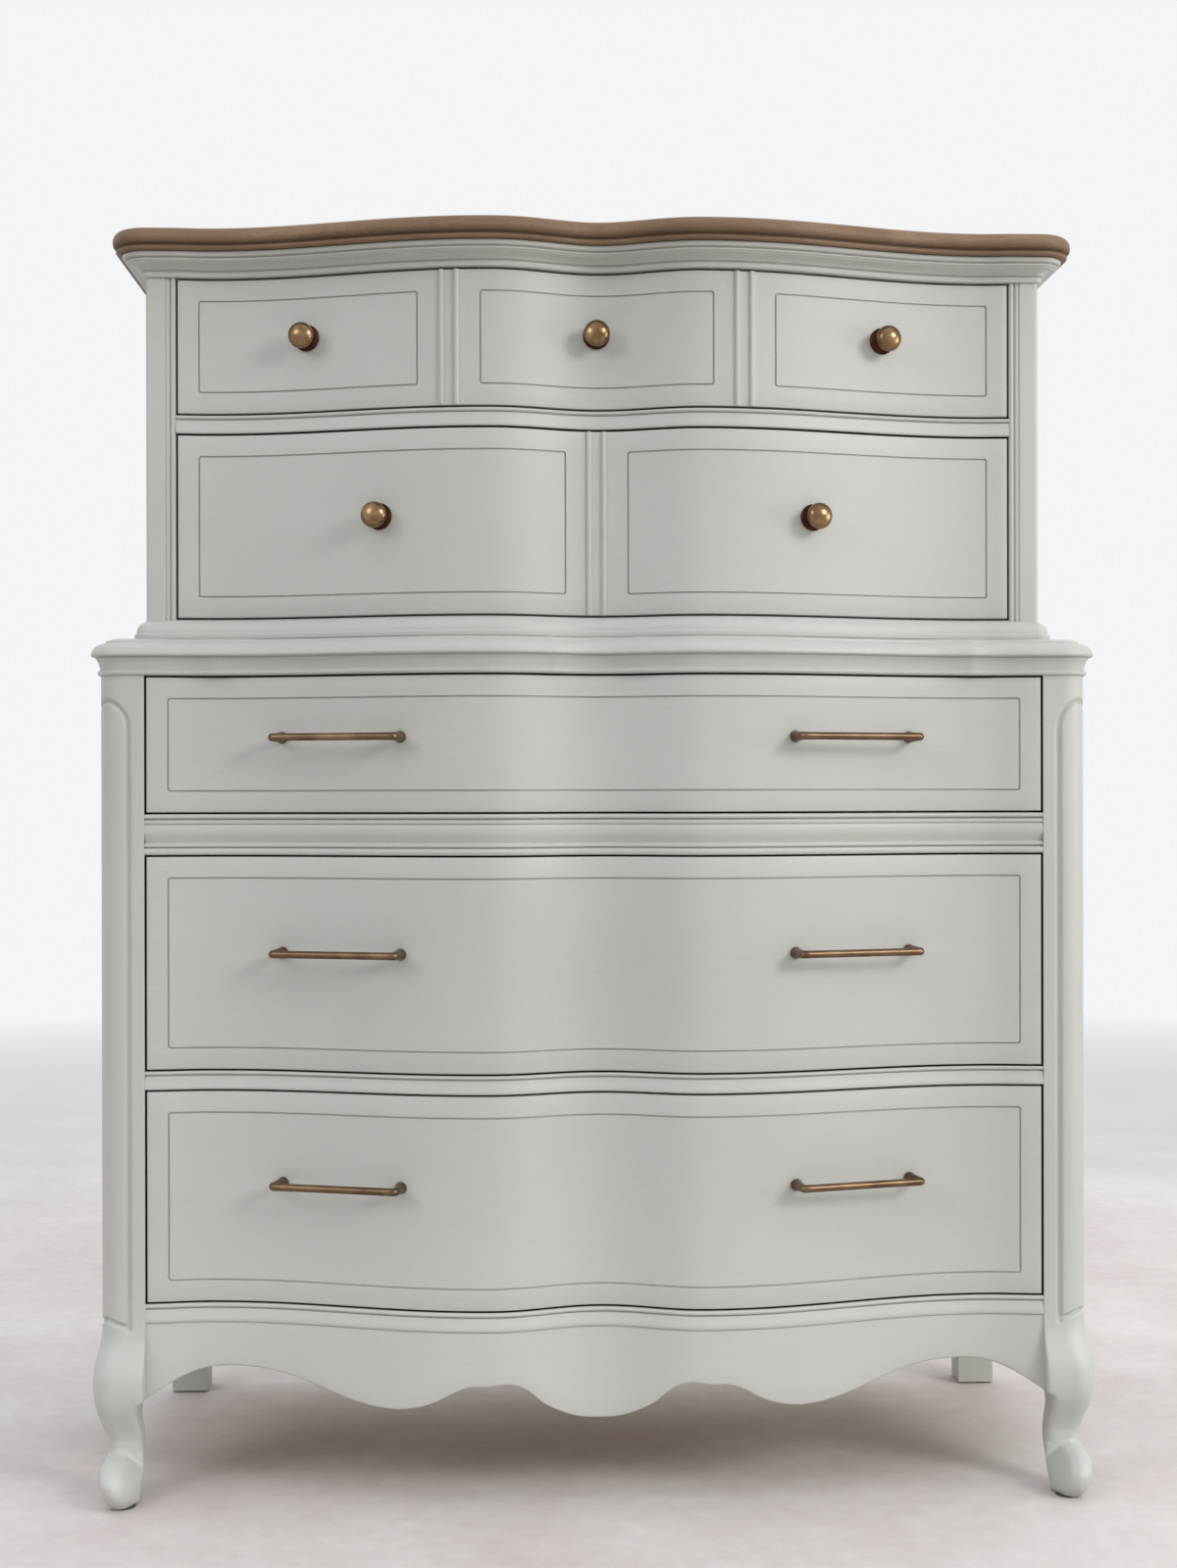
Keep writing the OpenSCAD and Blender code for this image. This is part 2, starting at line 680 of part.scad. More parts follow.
// Height of the apron's lower edge at x
function wave(x, x0, z0, x1, z1) = z1 + (z0 - z1) * ease((x - x1) / (x0 - x1));
function apron_edge(x) =
  let (a = abs(x))
  a >= apron_arch_x ? apron_end_z + (apron_arch_z - apron_end_z)
    * sin(90 * (lower_open - a) / (lower_open - apron_arch_x))
  : a >= apron_lobe_x ? wave(a, apron_arch_x, apron_arch_z, apron_lobe_x, apron_lobe_z)
  : a >= apron_shelf_x ? wave(a, apron_lobe_x, apron_lobe_z, apron_shelf_x, apron_shelf_z)
  : a >= apron_bracket_x ? wave(a, apron_shelf_x, apron_shelf_z, apron_bracket_x, apron_bracket_z)
  : wave(a, apron_bracket_x, apron_bracket_z, 0, apron_middle_z);

// Shaped apron that follows the serpentine front
module apron() {
  edge_steps = 2 * front_steps;
  xs = [for (i = [0 : edge_steps]) -lower_open + 2 * lower_open * i / edge_steps];
  edge = [for (x = xs) [x, apron_edge(x)]];
  face = [for (x = places(lower_open)) [x, front_line(x, lower_open, lower_flare) + apron_in]];
  rear = [for (x = backwards(places(lower_open)))
    [x, back_line(x, lower_flare, apron_in + apron_t)]];
  color(paint) placed() intersection() {
    linear_extrude(bottom_rail_z) polygon(concat(face, rear));
    translate([0, lower_d, 0]) rotate([90, 0, 0]) linear_extrude(2 * lower_d)
      polygon(concat(edge, [[lower_open, bottom_rail_z], [-lower_open, bottom_rail_z]]));
  }
}

// Frame that carries one drawer: two side runners, a rear rail, a bearer and a centre guide
module drawer_frame(row) {
  upper = row < 2;
  top = ROWS[row][1];
  t = bottom_rail_h;
  outer = (upper ? upper_half : lower_half) - panel_t;
  front = ROWS[row][3] + rail_d;
  rear = upper ? back_y : rear_leg_y + frame_rear_d;
  rear_half = upper ? outer : rear_leg_x;
  rail_y = rear - frame_rear_d;
  color(maple) placed() difference() {
    union() {
      pair() board(-outer, runner_w - outer, front, rail_y, top - t, top);
      board(-rear_half, rear_half, rail_y + glue, rear, top - t, top);
      board(-bearer_w / 2, bearer_w / 2, front, rail_y, top - t, top - glue);
      board(-guide_w / 2, guide_w / 2, front, rail_y, top, top + guide_h);
    }
    if (row == 1)
      screw_places() cylinder(d = screw_d + 2 * screw_gap, h = row2_z + 1, $fn = 32);
  }
}
module drawer_frame_1() {
  drawer_frame(0);
}
module drawer_frame_2() {
  drawer_frame(1);
}
module drawer_frame_3() {
  drawer_frame(2);
}
module drawer_frame_4() {
  drawer_frame(3);
}
module drawer_frame_5() {
  drawer_frame(4);
}

// Glides under the four legs
module foot_glides() {
  color(nylon) placed() pair() {
    translate([-glide_x, glide_y, 0]) cylinder(d = glide_d, h = glide_h, $fn = 48);
    translate([-rear_leg_x - rear_leg_w / 2, rear_leg_y + rear_leg_w / 2, 0])
      cylinder(d = glide_d, h = glide_h, $fn = 48);
  }
}

// The four screws that hold the upper case down on the lower one
module screw_places() {
  x = upper_half - panel_t - runner_w / 4;
  inset = 40;
  for (sx = [-x, x])
    for (y = [set_back + rail_d + inset, back_y - frame_rear_d - inset])
      translate([sx, y, 0]) children();
}
module case_screws() {
  head = 2.5;
  color(steel) placed() screw_places() {
    translate([0, 0, screw_z]) cylinder(d = screw_d, h = row2_z - screw_z, $fn = 32);
    translate([0, 0, row2_z]) cylinder(d = screw_head_d, h = head, $fn = 32);
  }
}

// Y of a drawer front's face at x, measured on the flat strips that it is made of
function face_y(row, x) =
  let (
    r = ROWS[row],
    half = r[0] - front_gap,
    strip = 2 * half / front_steps,
    x0 = floor((x + half) / strip) * strip - half,
    y0 = front_line(x0, r[0], r[4]),
    y1 = front_line(x0 + strip, r[0], r[4])
  )
  r[3] + front_in + y0 + (y1 - y0) * (x - x0) / strip;

// Where a drawer's handle sits: midway between x0 and x1, turned to the slope between them.
// $hollow is how far the front lies behind that place.
module on_front(row, x0, x1) {
  y0 = face_y(row, x0);
  y1 = face_y(row, x1);
  $hollow = max(0, face_y(row, (x0 + x1) / 2) - (y0 + y1) / 2);
  translate([(x0 + x1) / 2, (y0 + y1) / 2, ROWS[row][6]])
    rotate([0, 0, atan2(y1 - y0, x1 - x0)]) children();
}

// Places of the screws in a drawer front, each with -Y out of the front
module handle_places(row) {
  base = knob_base_d / 2;
  if (row == 0)
    for (x = [-row1_knob_x, 0, row1_knob_x]) on_front(row, x - base, x + base) children();
  else if (row == 1)
    for (x = [-row2_knob_x, row2_knob_x]) on_front(row, x - base, x + base) children();
  else
    for (s = [-1, 1]) pull_place(row, s)
      for (side = [-1, 1]) let ($hollow = 0) translate([side * pull_cc / 2, 0, 0]) children();
}

// Middle of one pull, turned so that both its posts meet the front
module pull_place(row, s) {
  on_front(row, s * pull_x - pull_half, s * pull_x + pull_half) children();
}

// The line of a drawer front's rear face
function rear_line(row) =
  let (r = ROWS[row])
  [for (x = places(r[0] - front_gap)) [x, r[3] + front_in + back_line(x, r[4], front_t)]];

// Serpentine drawer front, with beading on the two upper rows
module drawer_front(row) {
  r = ROWS[row];
  half = r[0] - front_gap;
  h = r[2] - 2 * front_gap;
  front = r[3] + front_in;
  face = [for (x = places(half)) [x, front + front_line(x, r[0], r[4])]];
  beads = row == 0 ? [-beading_x, beading_x] : row == 1 ? [0] : [];
  color(paint) placed() difference() {
    translate([0, 0, r[1] + front_gap]) linear_extrude(h) union() {
      polygon(concat(face, backwards(rear_line(row))));
      for (x = beads) for (s = [-1, 1])
        let (bx = x + s * (beading_w / 2 - beading_r))
        translate([bx, front + front_line(bx, r[0], r[4])]) circle(r = beading_r, $fn = 32);
    }
    handle_places(row) rotate([90, 0, 0])
      cylinder(d = screw_d + 2 * screw_gap, h = 3 * front_t, center = true, $fn = 32);
  }
}

// Y where a drawer's box starts behind its front, and where it ends
function box_front(row) = let (r = ROWS[row]) r[3] + front_in + r[4] + front_t;
function box_end(row) = ROWS[row][5] - rear_gap;
function box_half(row) = ROWS[row][0] - side_gap;
function box_low(row) = ROWS[row][1] + run_gap;
function box_high(row) = ROWS[row][1] + ROWS[row][2] - box_drop;

// The two grooved sides
module drawer_sides(row) {
  x = box_half(row);
  low = box_low(row);
  groove_z = low + bottom_up;
  color(maple) placed() pair() difference() {
    board(-x, box_t - x, box_front(row), box_end(row), low, box_high(row));
    board(box_t - groove_d - x, box_t + 1 - x, box_front(row) - 1, box_end(row) + 1,
      groove_z, groove_z + bottom_t);
  }
}

// Back, standing on the bottom between the sides
module drawer_back(row) {
  x = box_half(row) - box_t;
  below = 8;
  color(maple) placed()
    board(-x, x, box_end(row) - box_t, box_end(row), box_low(row) + bottom_up + bottom_t,
      box_high(row) - below);
}

// Bottom in its grooves, with the two strips that run on the centre guide
module drawer_bottom(row) {
  r = ROWS[row];
  inner = box_half(row) - box_t;
  half = inner + groove_d - glue;
  z = box_low(row) + bottom_up;
  front = box_front(row);
  edge = [for (p = rear_line(row)) if (abs(p[0]) < inner) p];
  strip_x = guide_w / 2 + guide_gap;
  strip_y = r[3] + front_in + r[4] + front_t - middle_d + 10;
  color(birch) placed() {
    translate([0, 0, z]) linear_extrude(bottom_t)
      polygon(concat([[-half, box_end(row)], [-half, front], [-inner, front]], edge,
        [[inner, front], [half, front], [half, box_end(row)]]));
    pair() board(strip_x, strip_x + strip_w, strip_y, box_end(row), box_low(row) + 1, z - glue);
  }
}

// Pan-head screw that holds a handle, entering from behind the front
module handle_screw() {
  head = 2.5;
  from = front_t + seat_gap + $hollow;
  rotate([90, 0, 0]) {
    translate([0, 0, -from]) cylinder(d = screw_d, h = from + screw_in, $fn = 32);
    translate([0, 0, -from - head]) cylinder(d = screw_head_d, h = head, $fn = 32);
  }
}

// Round knob: flared base, neck and domed head, bored for its screw
module knob() {
  bore_r = screw_d / 2 + thread_gap;
  base_t = 3;
  neck_end = knob_out * 0.4;
  rim_z = knob_out * 0.62;
  dome = knob_out - rim_z;
  profile = concat(
    [[bore_r, 0], [knob_base_d / 2, 0], [knob_base_d / 2, base_t * 0.6]],
    [[knob_base_d / 2 - 1.5, base_t], [knob_neck_d / 2, base_t + 3], [knob_neck_d / 2, neck_end]],
    [[knob_d / 2 - 2.5, rim_z - 3]],
    arc(0, rim_z, knob_d / 2, dome, 0, 90, 3 * round_steps),
    [[0, screw_in + seat_gap], [bore_r, screw_in + seat_gap]]
  );
  color(brass) translate([0, -seat_gap, 0]) rotate([90, 0, 0])
    rotate_extrude($fn = 64) polygon(profile);
}
module drawer_knobs(row) {
  placed() handle_places(row) {
    knob();
    color(steel) handle_screw();
  }
}

// Bar pull: straight bar on two flared posts
module pull() {
  bore_r = screw_d / 2 + thread_gap;
  bar_y = pull_out - bar_d / 2;
  neck_r = bar_d / 2 - 0.4;
  post = [
    [bore_r, 0], [pull_base_d / 2, 0], [pull_base_d / 2, 1.5], [neck_r + 1, 11],
    [neck_r, 16], [neck_r, bar_y], [0, bar_y], [0, screw_in + seat_gap],
    [bore_r, screw_in + seat_gap]
  ];
  color(brass) translate([0, -seat_gap, 0]) {
    translate([0, -bar_y, 0]) rotate([0, 90, 0])
      cylinder(d = bar_d, h = pull_cc + 2 * bar_end, center = true, $fn = 48);
    for (s = [-1, 1]) translate([s * pull_cc / 2, 0, 0]) rotate([90, 0, 0])
      rotate_extrude($fn = 48) polygon(post);
  }
}
module drawer_pulls(row) {
  placed() for (s = [-1, 1]) pull_place(row, s) {
    pull();
    color(steel) for (side = [-1, 1]) let ($hollow = 0)
      translate([side * pull_cc / 2, 0, 0]) handle_screw();
  }
}

top_slab();
cornice();
upper_top_rail();
top_cleats();
upper_side_left();
upper_side_right();
upper_post_left();
upper_post_right();
upper_back();
upper_mid_rail();
upper_base_rail();
base_moulding();
drawer_frame_1();
drawer_frame_2();
waist_moulding();
lower_top_board();
lower_top_rail();
lower_side_left();
lower_side_right();
front_leg_left();
front_leg_right();
rear_leg_left();
rear_leg_right();
lower_back();
middle_rail();
lower_rail();
bottom_rail();
apron();
drawer_frame_3();
drawer_frame_4();
drawer_frame_5();
foot_glides();
case_screws();
drawer_front(0);  // drawer_1_front
drawer_sides(0);  // drawer_1_sides
drawer_back(0);  // drawer_1_back
drawer_bottom(0);  // drawer_1_bottom
drawer_knobs(0);  // drawer_1_knobs
drawer_front(1);  // drawer_2_front
drawer_sides(1);  // drawer_2_sides
drawer_back(1);  // drawer_2_back
drawer_bottom(1);  // drawer_2_bottom
drawer_knobs(1);  // drawer_2_knobs
drawer_front(2);  // drawer_3_front
drawer_sides(2);  // drawer_3_sides
drawer_back(2);  // drawer_3_back
drawer_bottom(2);  // drawer_3_bottom
drawer_pulls(2);  // drawer_3_pulls
drawer_front(3);  // drawer_4_front
drawer_sides(3);  // drawer_4_sides
drawer_back(3);  // drawer_4_back
drawer_bottom(3);  // drawer_4_bottom
drawer_pulls(3);  // drawer_4_pulls
drawer_front(4);  // drawer_5_front
drawer_sides(4);  // drawer_5_sides
drawer_back(4);  // drawer_5_back
drawer_bottom(4);  // drawer_5_bottom
drawer_pulls(4);  // drawer_5_pulls
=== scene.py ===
import math

import bmesh
import bpy
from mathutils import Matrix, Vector

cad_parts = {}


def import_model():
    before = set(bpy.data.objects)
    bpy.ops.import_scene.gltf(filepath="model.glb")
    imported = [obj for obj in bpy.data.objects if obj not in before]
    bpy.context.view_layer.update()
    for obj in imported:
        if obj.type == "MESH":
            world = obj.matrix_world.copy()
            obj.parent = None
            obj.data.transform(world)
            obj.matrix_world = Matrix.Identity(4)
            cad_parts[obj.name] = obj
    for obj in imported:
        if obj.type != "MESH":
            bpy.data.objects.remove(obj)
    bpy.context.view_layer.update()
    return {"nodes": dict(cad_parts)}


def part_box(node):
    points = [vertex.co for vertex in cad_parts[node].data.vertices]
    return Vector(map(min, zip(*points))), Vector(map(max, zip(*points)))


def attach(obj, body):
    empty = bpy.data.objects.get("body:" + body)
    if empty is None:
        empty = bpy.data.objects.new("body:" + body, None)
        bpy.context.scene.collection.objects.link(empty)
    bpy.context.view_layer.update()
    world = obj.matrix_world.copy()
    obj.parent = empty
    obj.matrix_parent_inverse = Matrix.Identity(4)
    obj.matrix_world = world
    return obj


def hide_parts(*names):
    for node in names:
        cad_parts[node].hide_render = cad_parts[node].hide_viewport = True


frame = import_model()

# Lengths are in millimetres, with Y from the face of the lower posts, as in the CAD source.
# FACE_Y is that face in the frame.
MM = 0.001
CASE_DEPTH = 448.0
FACE_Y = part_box("lower_side_left")[1].y * 1000 - CASE_DEPTH

# The serpentine: where it crests and where it ends, from the middle, and how far it swells
CREST_X, HOLLOW_X, CREST_SWELL, MIDDLE_SWELL = 108.0, 407.0, 60.0, 34.0
LOWER_FLARE, UPPER_FLARE = 5.5, 2.0
# Half width of each case and of its opening, and the radius of its front corners
LOWER_HALF, LOWER_OPEN, LOWER_R = 515.5, 467.0, 28.0
UPPER_HALF, UPPER_OPEN, UPPER_R = 469.0, 438.0, 4.0
SET_BACK = 27.0
WAIST_LAND = 36.5
SEEN = (0.90, 0.91, 0.92, 1)


def make_camera():
    data = bpy.data.cameras.new("camera")
    data.sensor_width = 36
    data.lens = 49.79
    data.shift_y = 0.0098
    cam = bpy.data.objects.new("camera", data)
    bpy.context.scene.collection.objects.link(cam)
    cam.location = (-0.0877, (FACE_Y - 2250) * MM, 0.7246)
    cam.rotation_euler = (math.radians(89.9), math.radians(0.11), math.radians(-2.01))
    bpy.context.scene.camera = cam


# Curves and plan lines
def cosd(a):
    return math.cos(math.radians(a))


def sind(a):
    return math.sin(math.radians(a))


def ease(t):
    return (1 - math.cos(math.pi * t)) / 2


def spread(a, b, n):
    return [a + (b - a) * i / n for i in range(n + 1)]


def arc(cx, cy, rx, ry, a0, a1, n):
    return [(cx + rx * cosd(a), cy + ry * sind(a)) for a in spread(a0, a1, n)]


def monotone(xs, ys, x):
    """Smooth curve through points, without overshoot."""
    n = len(xs)
    if x <= xs[0]:
        return ys[0]
    if x >= xs[-1]:
        return ys[-1]
    i = max(k for k in range(n - 1) if xs[k] <= x)
    slopes = [(ys[k + 1] - ys[k]) / (xs[k + 1] - xs[k]) for k in range(n - 1)]

    def tangent(k):
        if k == 0:
            return slopes[0]
        if k == n - 1:
            return slopes[-1]
        a, b = slopes[k - 1], slopes[k]
        return 0.0 if a * b <= 0 else 2 * a * b / (a + b)

    h = xs[i + 1] - xs[i]
    t = (x - xs[i]) / h
    a, b = tangent(i) * h, tangent(i + 1) * h
    return ((2 * t ** 3 - 3 * t ** 2 + 1) * ys[i] + (t ** 3 - 2 * t ** 2 + t) * a
            + (-2 * t ** 3 + 3 * t ** 2) * ys[i + 1] + (t ** 3 - t ** 2) * b)


def swell(x):
    a = abs(x)
    if a <= CREST_X:
        return MIDDLE_SWELL + (CREST_SWELL - MIDDLE_SWELL) * ease(a / CREST_X)
    if a <= HOLLOW_X:
        return CREST_SWELL * (1 - ease((a - CREST_X) / (HOLLOW_X - CREST_X)))
    return 0.0


def front_y(x, half, flare):
    over = (abs(x) - HOLLOW_X) / (half - HOLLOW_X)
    return flare - swell(x) - flare * ease(max(0.0, min(1.0, over)))


def lower_y(x):
    return front_y(x, LOWER_OPEN, LOWER_FLARE)


def upper_y(x):
    return SET_BACK + front_y(x, UPPER_OPEN, UPPER_FLARE)


def creased(x):
    """The lower line with the four mitres of the waist moulding, slight steps in its direction."""
    y = lower_y(x)
    for at, turn, reach in ((45.0, 0.12, 40.0), (392.0, 0.14, 52.0)):
        d = abs(abs(x) - at) / reach
        if d < 1:
            y -= turn * reach / 2 * (1 - d) ** 2
    return y


def outline(half, open_half, front, r, line, steps=180, corner=12):
    """Plan of a case from the rear left corner round the front to the rear right corner."""
    left = [(-half, CASE_DEPTH), (-half, CASE_DEPTH / 2)]
    left += arc(r - half, front + r, r, r, 180, 270, corner)
    path = left + [(x, line(x)) for x in spread(-open_half, open_half, steps)]
    return path + [(-x, y) for x, y in reversed(left)]


def normals(path):
    """Mitred outward normals: their length keeps an offset line parallel."""
    out = []
    for i in range(len(path)):
        sides = []
        for a, b in ((i - 1, i), (i, i + 1)):
            if a >= 0 and b < len(path):
                dx, dy = path[b][0] - path[a][0], path[b][1] - path[a][1]
                d = math.hypot(dx, dy)
                sides.append((dy / d, -dx / d))
        if len(sides) == 1:
            sides *= 2
        (ax, ay), (bx, by) = sides
        k = 1 + ax * bx + ay * by
        out.append(((ax + bx) / k, (ay + by) / k))
    return out


def heights(node):
    """Lower and upper edge of a CAD node."""
    low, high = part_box(node)
    return low.z * 1000, high.z * 1000


# Mesh helpers: a part is (vertices, faces)
def build(name, part, body, material, nodes=(), slot=None, angle=32, in_shaded_gap=None):
    """One piece from millimetres. The last argument picks, by its middle, each face that takes near-black wood:
    painted shade in the gaps.
    """
    verts, faces = part
    me = bpy.data.meshes.new(name)
    me.from_pydata([(x * MM, (y + FACE_Y) * MM, z * MM) for x, y, z in verts], [], faces)
    bm = bmesh.new()
    bm.from_mesh(me)
    bmesh.ops.remove_doubles(bm, verts=bm.verts, dist=1e-6)
    bmesh.ops.recalc_face_normals(bm, faces=bm.faces)
    bm.to_mesh(me)
    bm.free()
    me.shade_smooth()
    me.set_sharp_from_angle(angle=math.radians(angle))
    ob = bpy.data.objects.new(name, me)
    bpy.context.scene.collection.objects.link(ob)
    me.materials.append(material)
    # Faces picked as lying in a gap take the near-black wood: painted shade.
    if in_shaded_gap:
        me.materials.append(GAP_SHADE)
        for face in me.polygons:
            c = face.center
            if in_shaded_gap(c.x / MM, c.y / MM - FACE_Y, c.z / MM):
                face.material_index = 1
    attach(ob, body)
    if nodes:
        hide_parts(*nodes)


def join_parts(parts):
    verts, faces = [], []
    for v, f in parts:
        base = len(verts)
        verts += v
        faces += [tuple(base + i for i in face) for face in f]
    return verts, faces


def mirrored(part):
    v, f = part
    return [(-x, y, z) for x, y, z in v], [tuple(reversed(face)) for face in f]


def rings_part(rings):
    """Quads between closed rings of equal length, and a cap on the first and the last."""
    m, n = len(rings[0]), len(rings)
    verts = [p for ring in rings for p in ring]
    faces = []
    for j in range(n - 1):
        for i in range(m):
            k = (i + 1) % m
            faces.append((j * m + i, j * m + k, (j + 1) * m + k, (j + 1) * m + i))
    faces.append(tuple(reversed(range(m))))
    faces.append(tuple(range((n - 1) * m, n * m)))
    return verts, faces


def sweep_part(path, profile):
    """A closed profile of (overhang, z) points carried along a plan path."""
    return rings_part([[(x + o * nx, y + o * ny, z) for o, z in profile]
                       for (x, y), (nx, ny) in zip(path, normals(path))])


def lathe_part(profile, steps, place):
    """A profile of (radius, height) points turned about an axis. place maps (u, v, w), w along the axis."""
    verts, faces = [], []
    for i in range(steps):
        a = 2 * math.pi * i / steps
        verts += [place(r * math.cos(a), r * math.sin(a), h) for r, h in profile]
    m = len(profile)
    for i in range(steps):
        k = (i + 1) % steps
        faces += [(i * m + j, k * m + j, k * m + j + 1, i * m + j + 1) for j in range(m - 1)]
    return verts, faces


def merge_lines(*groups, gap=0.22):
    """One sorted list of grid lines, without near copies. Earlier groups win."""
    kept = []
    for group in groups:
        for x in group:
            if all(abs(x - k) > gap for k in kept):
                kept.append(x)
    return sorted(kept)


# Materials
def linear(c):
    return tuple(x / 12.92 if x <= 0.04045 else ((x + 0.055) / 1.055) ** 2.4 for x in c)


def rgba(r, g, b):
    return (*linear((r / 255, g / 255, b / 255)), 1)


class Nodes:
    """A short way to write the node tree of a material or a world."""

    def __init__(self, owner, output):
        owner.use_nodes = True
        self.tree = owner.node_tree
        self.tree.nodes.clear()
        self.out = self.new(output)
        self.coords = self.new("ShaderNodeTexCoord")

    def link(self, a, b):
        self.tree.links.new(a, b)

    def new(self, kind, **settings):
        node = self.tree.nodes.new(kind)
        for key, value in settings.items():
            setattr(node, key, value)
        return node

    def valued(self, kind, values, **settings):
        """A new node with the given values in its inputs."""
        node = self.new(kind, **settings)
        for key, value in values.items():
            node.inputs[key].default_value = value
        return node

    def range(self, value, a, b, c, d):
        node = self.valued("ShaderNodeMapRange", {"From Min": a, "From Max": b, "To Min": c, "To Max": d})
        self.link(value, node.inputs["Value"])
        return node.outputs[0]

    def math(self, how, a, b):
        node = self.new("ShaderNodeMath", operation=how)
        for i, v in enumerate((a, b)):
            if isinstance(v, (int, float)):
                node.inputs[i].default_value = v
            else:
                self.link(v, node.inputs[i])
        return node.outputs[0]

    def weighted(self, *pairs):
        """Sum of values, each times its weight."""
        total = None
        for value, weight in reversed(pairs):
            part = self.math("MULTIPLY", value, weight)
            total = part if total is None else self.math("ADD", part, total)
        return total

    def seen(self):
        """1 for the rays that see the background: straight, in a reflection or through glass."""
        path = self.new("ShaderNodeLightPath")
        either = self.math("MAXIMUM", path.outputs["Is Camera Ray"], path.outputs["Is Glossy Ray"])
        return self.math("MAXIMUM", either, path.outputs["Is Transmission Ray"])

    def mix_shader(self, fac, a, b):
        """Puts a mix of two shaders on the output."""
        mix = self.new("ShaderNodeMixShader")
        self.link(fac, mix.inputs["Fac"])
        self.link(a.outputs[0], mix.inputs[1])
        self.link(b.outputs[0], mix.inputs[2])
        self.link(mix.outputs[0], self.out.inputs["Surface"])


class Surface(Nodes):
    """A material with one principled shader, its textures placed by object coordinates."""

    def __init__(self, name):
        self.material = bpy.data.materials.new(name)
        super().__init__(self.material, "ShaderNodeOutputMaterial")
        self.shader = self.new("ShaderNodeBsdfPrincipled")
        self.link(self.shader.outputs[0], self.out.inputs["Surface"])
        self.place = self.coords.outputs["Object"]

    def colour(self, value):
        self.link(value, self.shader.inputs["Base Color"])

    def gloss(self, value):
        self.link(value, self.shader.inputs["Roughness"])

    def relief(self, value):
        self.link(value, self.shader.inputs["Normal"])

    def scaled(self, scale, offset=(0, 0, 0)):
        node = self.valued("ShaderNodeMapping", {"Scale": scale, "Location": offset})
        self.link(self.place, node.inputs["Vector"])
        return node.outputs[0]

    def noise(self, vector, detail=4.0, rough=0.5, warp=0.0):
        node = self.valued("ShaderNodeTexNoise", {"Scale": 1.0, "Detail": detail, "Roughness": rough,
                                                  "Distortion": warp})
        self.link(vector, node.inputs["Vector"])
        return node.outputs["Fac"]

    def ramp(self, fac, stops):
        node = self.new("ShaderNodeValToRGB")
        ramp = node.color_ramp
        while len(ramp.elements) < len(stops):
            ramp.elements.new(0.5)
        for element, (at, colour) in zip(ramp.elements, stops):
            element.position = at
            element.color = colour
        self.link(fac, node.inputs["Fac"])
        return node.outputs["Color"]

    def mix(self, fac, a, b):
        node = self.new("ShaderNodeMix", data_type="RGBA")
        for name, v in (("Factor", fac), ("A", a), ("B", b)):
            socket = [s for s in node.inputs if s.name == name and s.enabled][0]
            if isinstance(v, (int, float, tuple)):
                socket.default_value = v
            else:
                self.link(v, socket)
        return [s for s in node.outputs if s.enabled][0]

    def bump(self, height, strength, distance, before=None):
        node = self.valued("ShaderNodeBump", {"Strength": strength, "Distance": distance})
        self.link(height, node.inputs["Height"])
        if before is not None:
            self.link(before, node.inputs["Normal"])
        return node.outputs[0]


def paint(name, along):
    """Satin paint: a faint brush drag along one axis, a fine levelled texture, and a slight shift of tone."""
    n = Surface(name)
    stretch = {"x": (5, 420, 420), "z": (420, 420, 5)}[along]
    brush = n.noise(n.scaled(stretch), 3, 0.6)
    cloud = n.noise(n.scaled((2.2, 2.2, 2.2), (3, 7, 1)), 3, 0.55)
    peel = n.noise(n.scaled((900, 900, 900)), 2, 0.5)
    n.colour(n.ramp(n.weighted((cloud, 0.75), (brush, 0.25)), [
        (0.30, rgba(178, 178, 173)), (0.52, rgba(184, 184, 179)), (0.72, rgba(189, 189, 185))]))
    n.gloss(n.range(brush, 0.3, 0.7, 0.40, 0.50))
    n.shader.inputs["Specular IOR Level"].default_value = 0.42
    n.relief(n.bump(brush, 0.10, 0.0003, n.bump(peel, 0.10, 0.0002)))
    return n.material


def wood(name, tones, along, rough, grain=1.0, depth=0.25, quirk=None):
    """Straight-grained wood: broad bands, fine fibres and short open pores along one axis.
    quirk gives the heights in metres between which the wood darkens: painted shade in a quirk, and a little below
    it."""
    n = Surface(name)

    def stretch(long_scale, across):
        return tuple(long_scale if axis == along else across for axis in "xyz")

    bands = n.noise(n.scaled(stretch(1.6 * grain, 38 * grain), (1, 2, 3)), 5, 0.6, 0.6)
    fibre = n.noise(n.scaled(stretch(9 * grain, 620 * grain), (5, 1, 2)), 4, 0.65)
    patch = n.noise(n.scaled(stretch(2.5, 9), (2, 9, 4)), 2, 0.5)
    pores = n.noise(n.scaled(stretch(28 * grain, 900 * grain), (8, 8, 1)), 2, 0.5)
    base = n.ramp(n.weighted((bands, 0.5), (fibre, 0.3), (patch, 0.2)), list(zip((0.32, 0.5, 0.68), tones)))
    colour = n.mix(n.range(pores, 0.60, 0.72, 0.0, 0.45), base, tones[0])
    if quirk:
        axes = n.new("ShaderNodeSeparateXYZ")
        n.link(n.place, axes.inputs[0])
        below = n.range(axes.outputs["Z"], quirk[0], quirk[1], 0.12, 0.62)
        above = n.range(axes.outputs["Z"], quirk[2], quirk[3], 0.62, 0.0)
        # Painted shade: half the darkest tone, mixed in most between the quirk's heights.
        stain = tuple(c * 0.5 for c in tones[0][:3]) + (1,)
        colour = n.mix(n.math("MINIMUM", above, below), colour, stain)
    n.colour(colour)
    n.gloss(n.range(fibre, 0.3, 0.7, *rough))
    n.shader.inputs["Specular IOR Level"].default_value = 0.35
    n.relief(n.bump(fibre, depth, 0.0003))
    return n.material


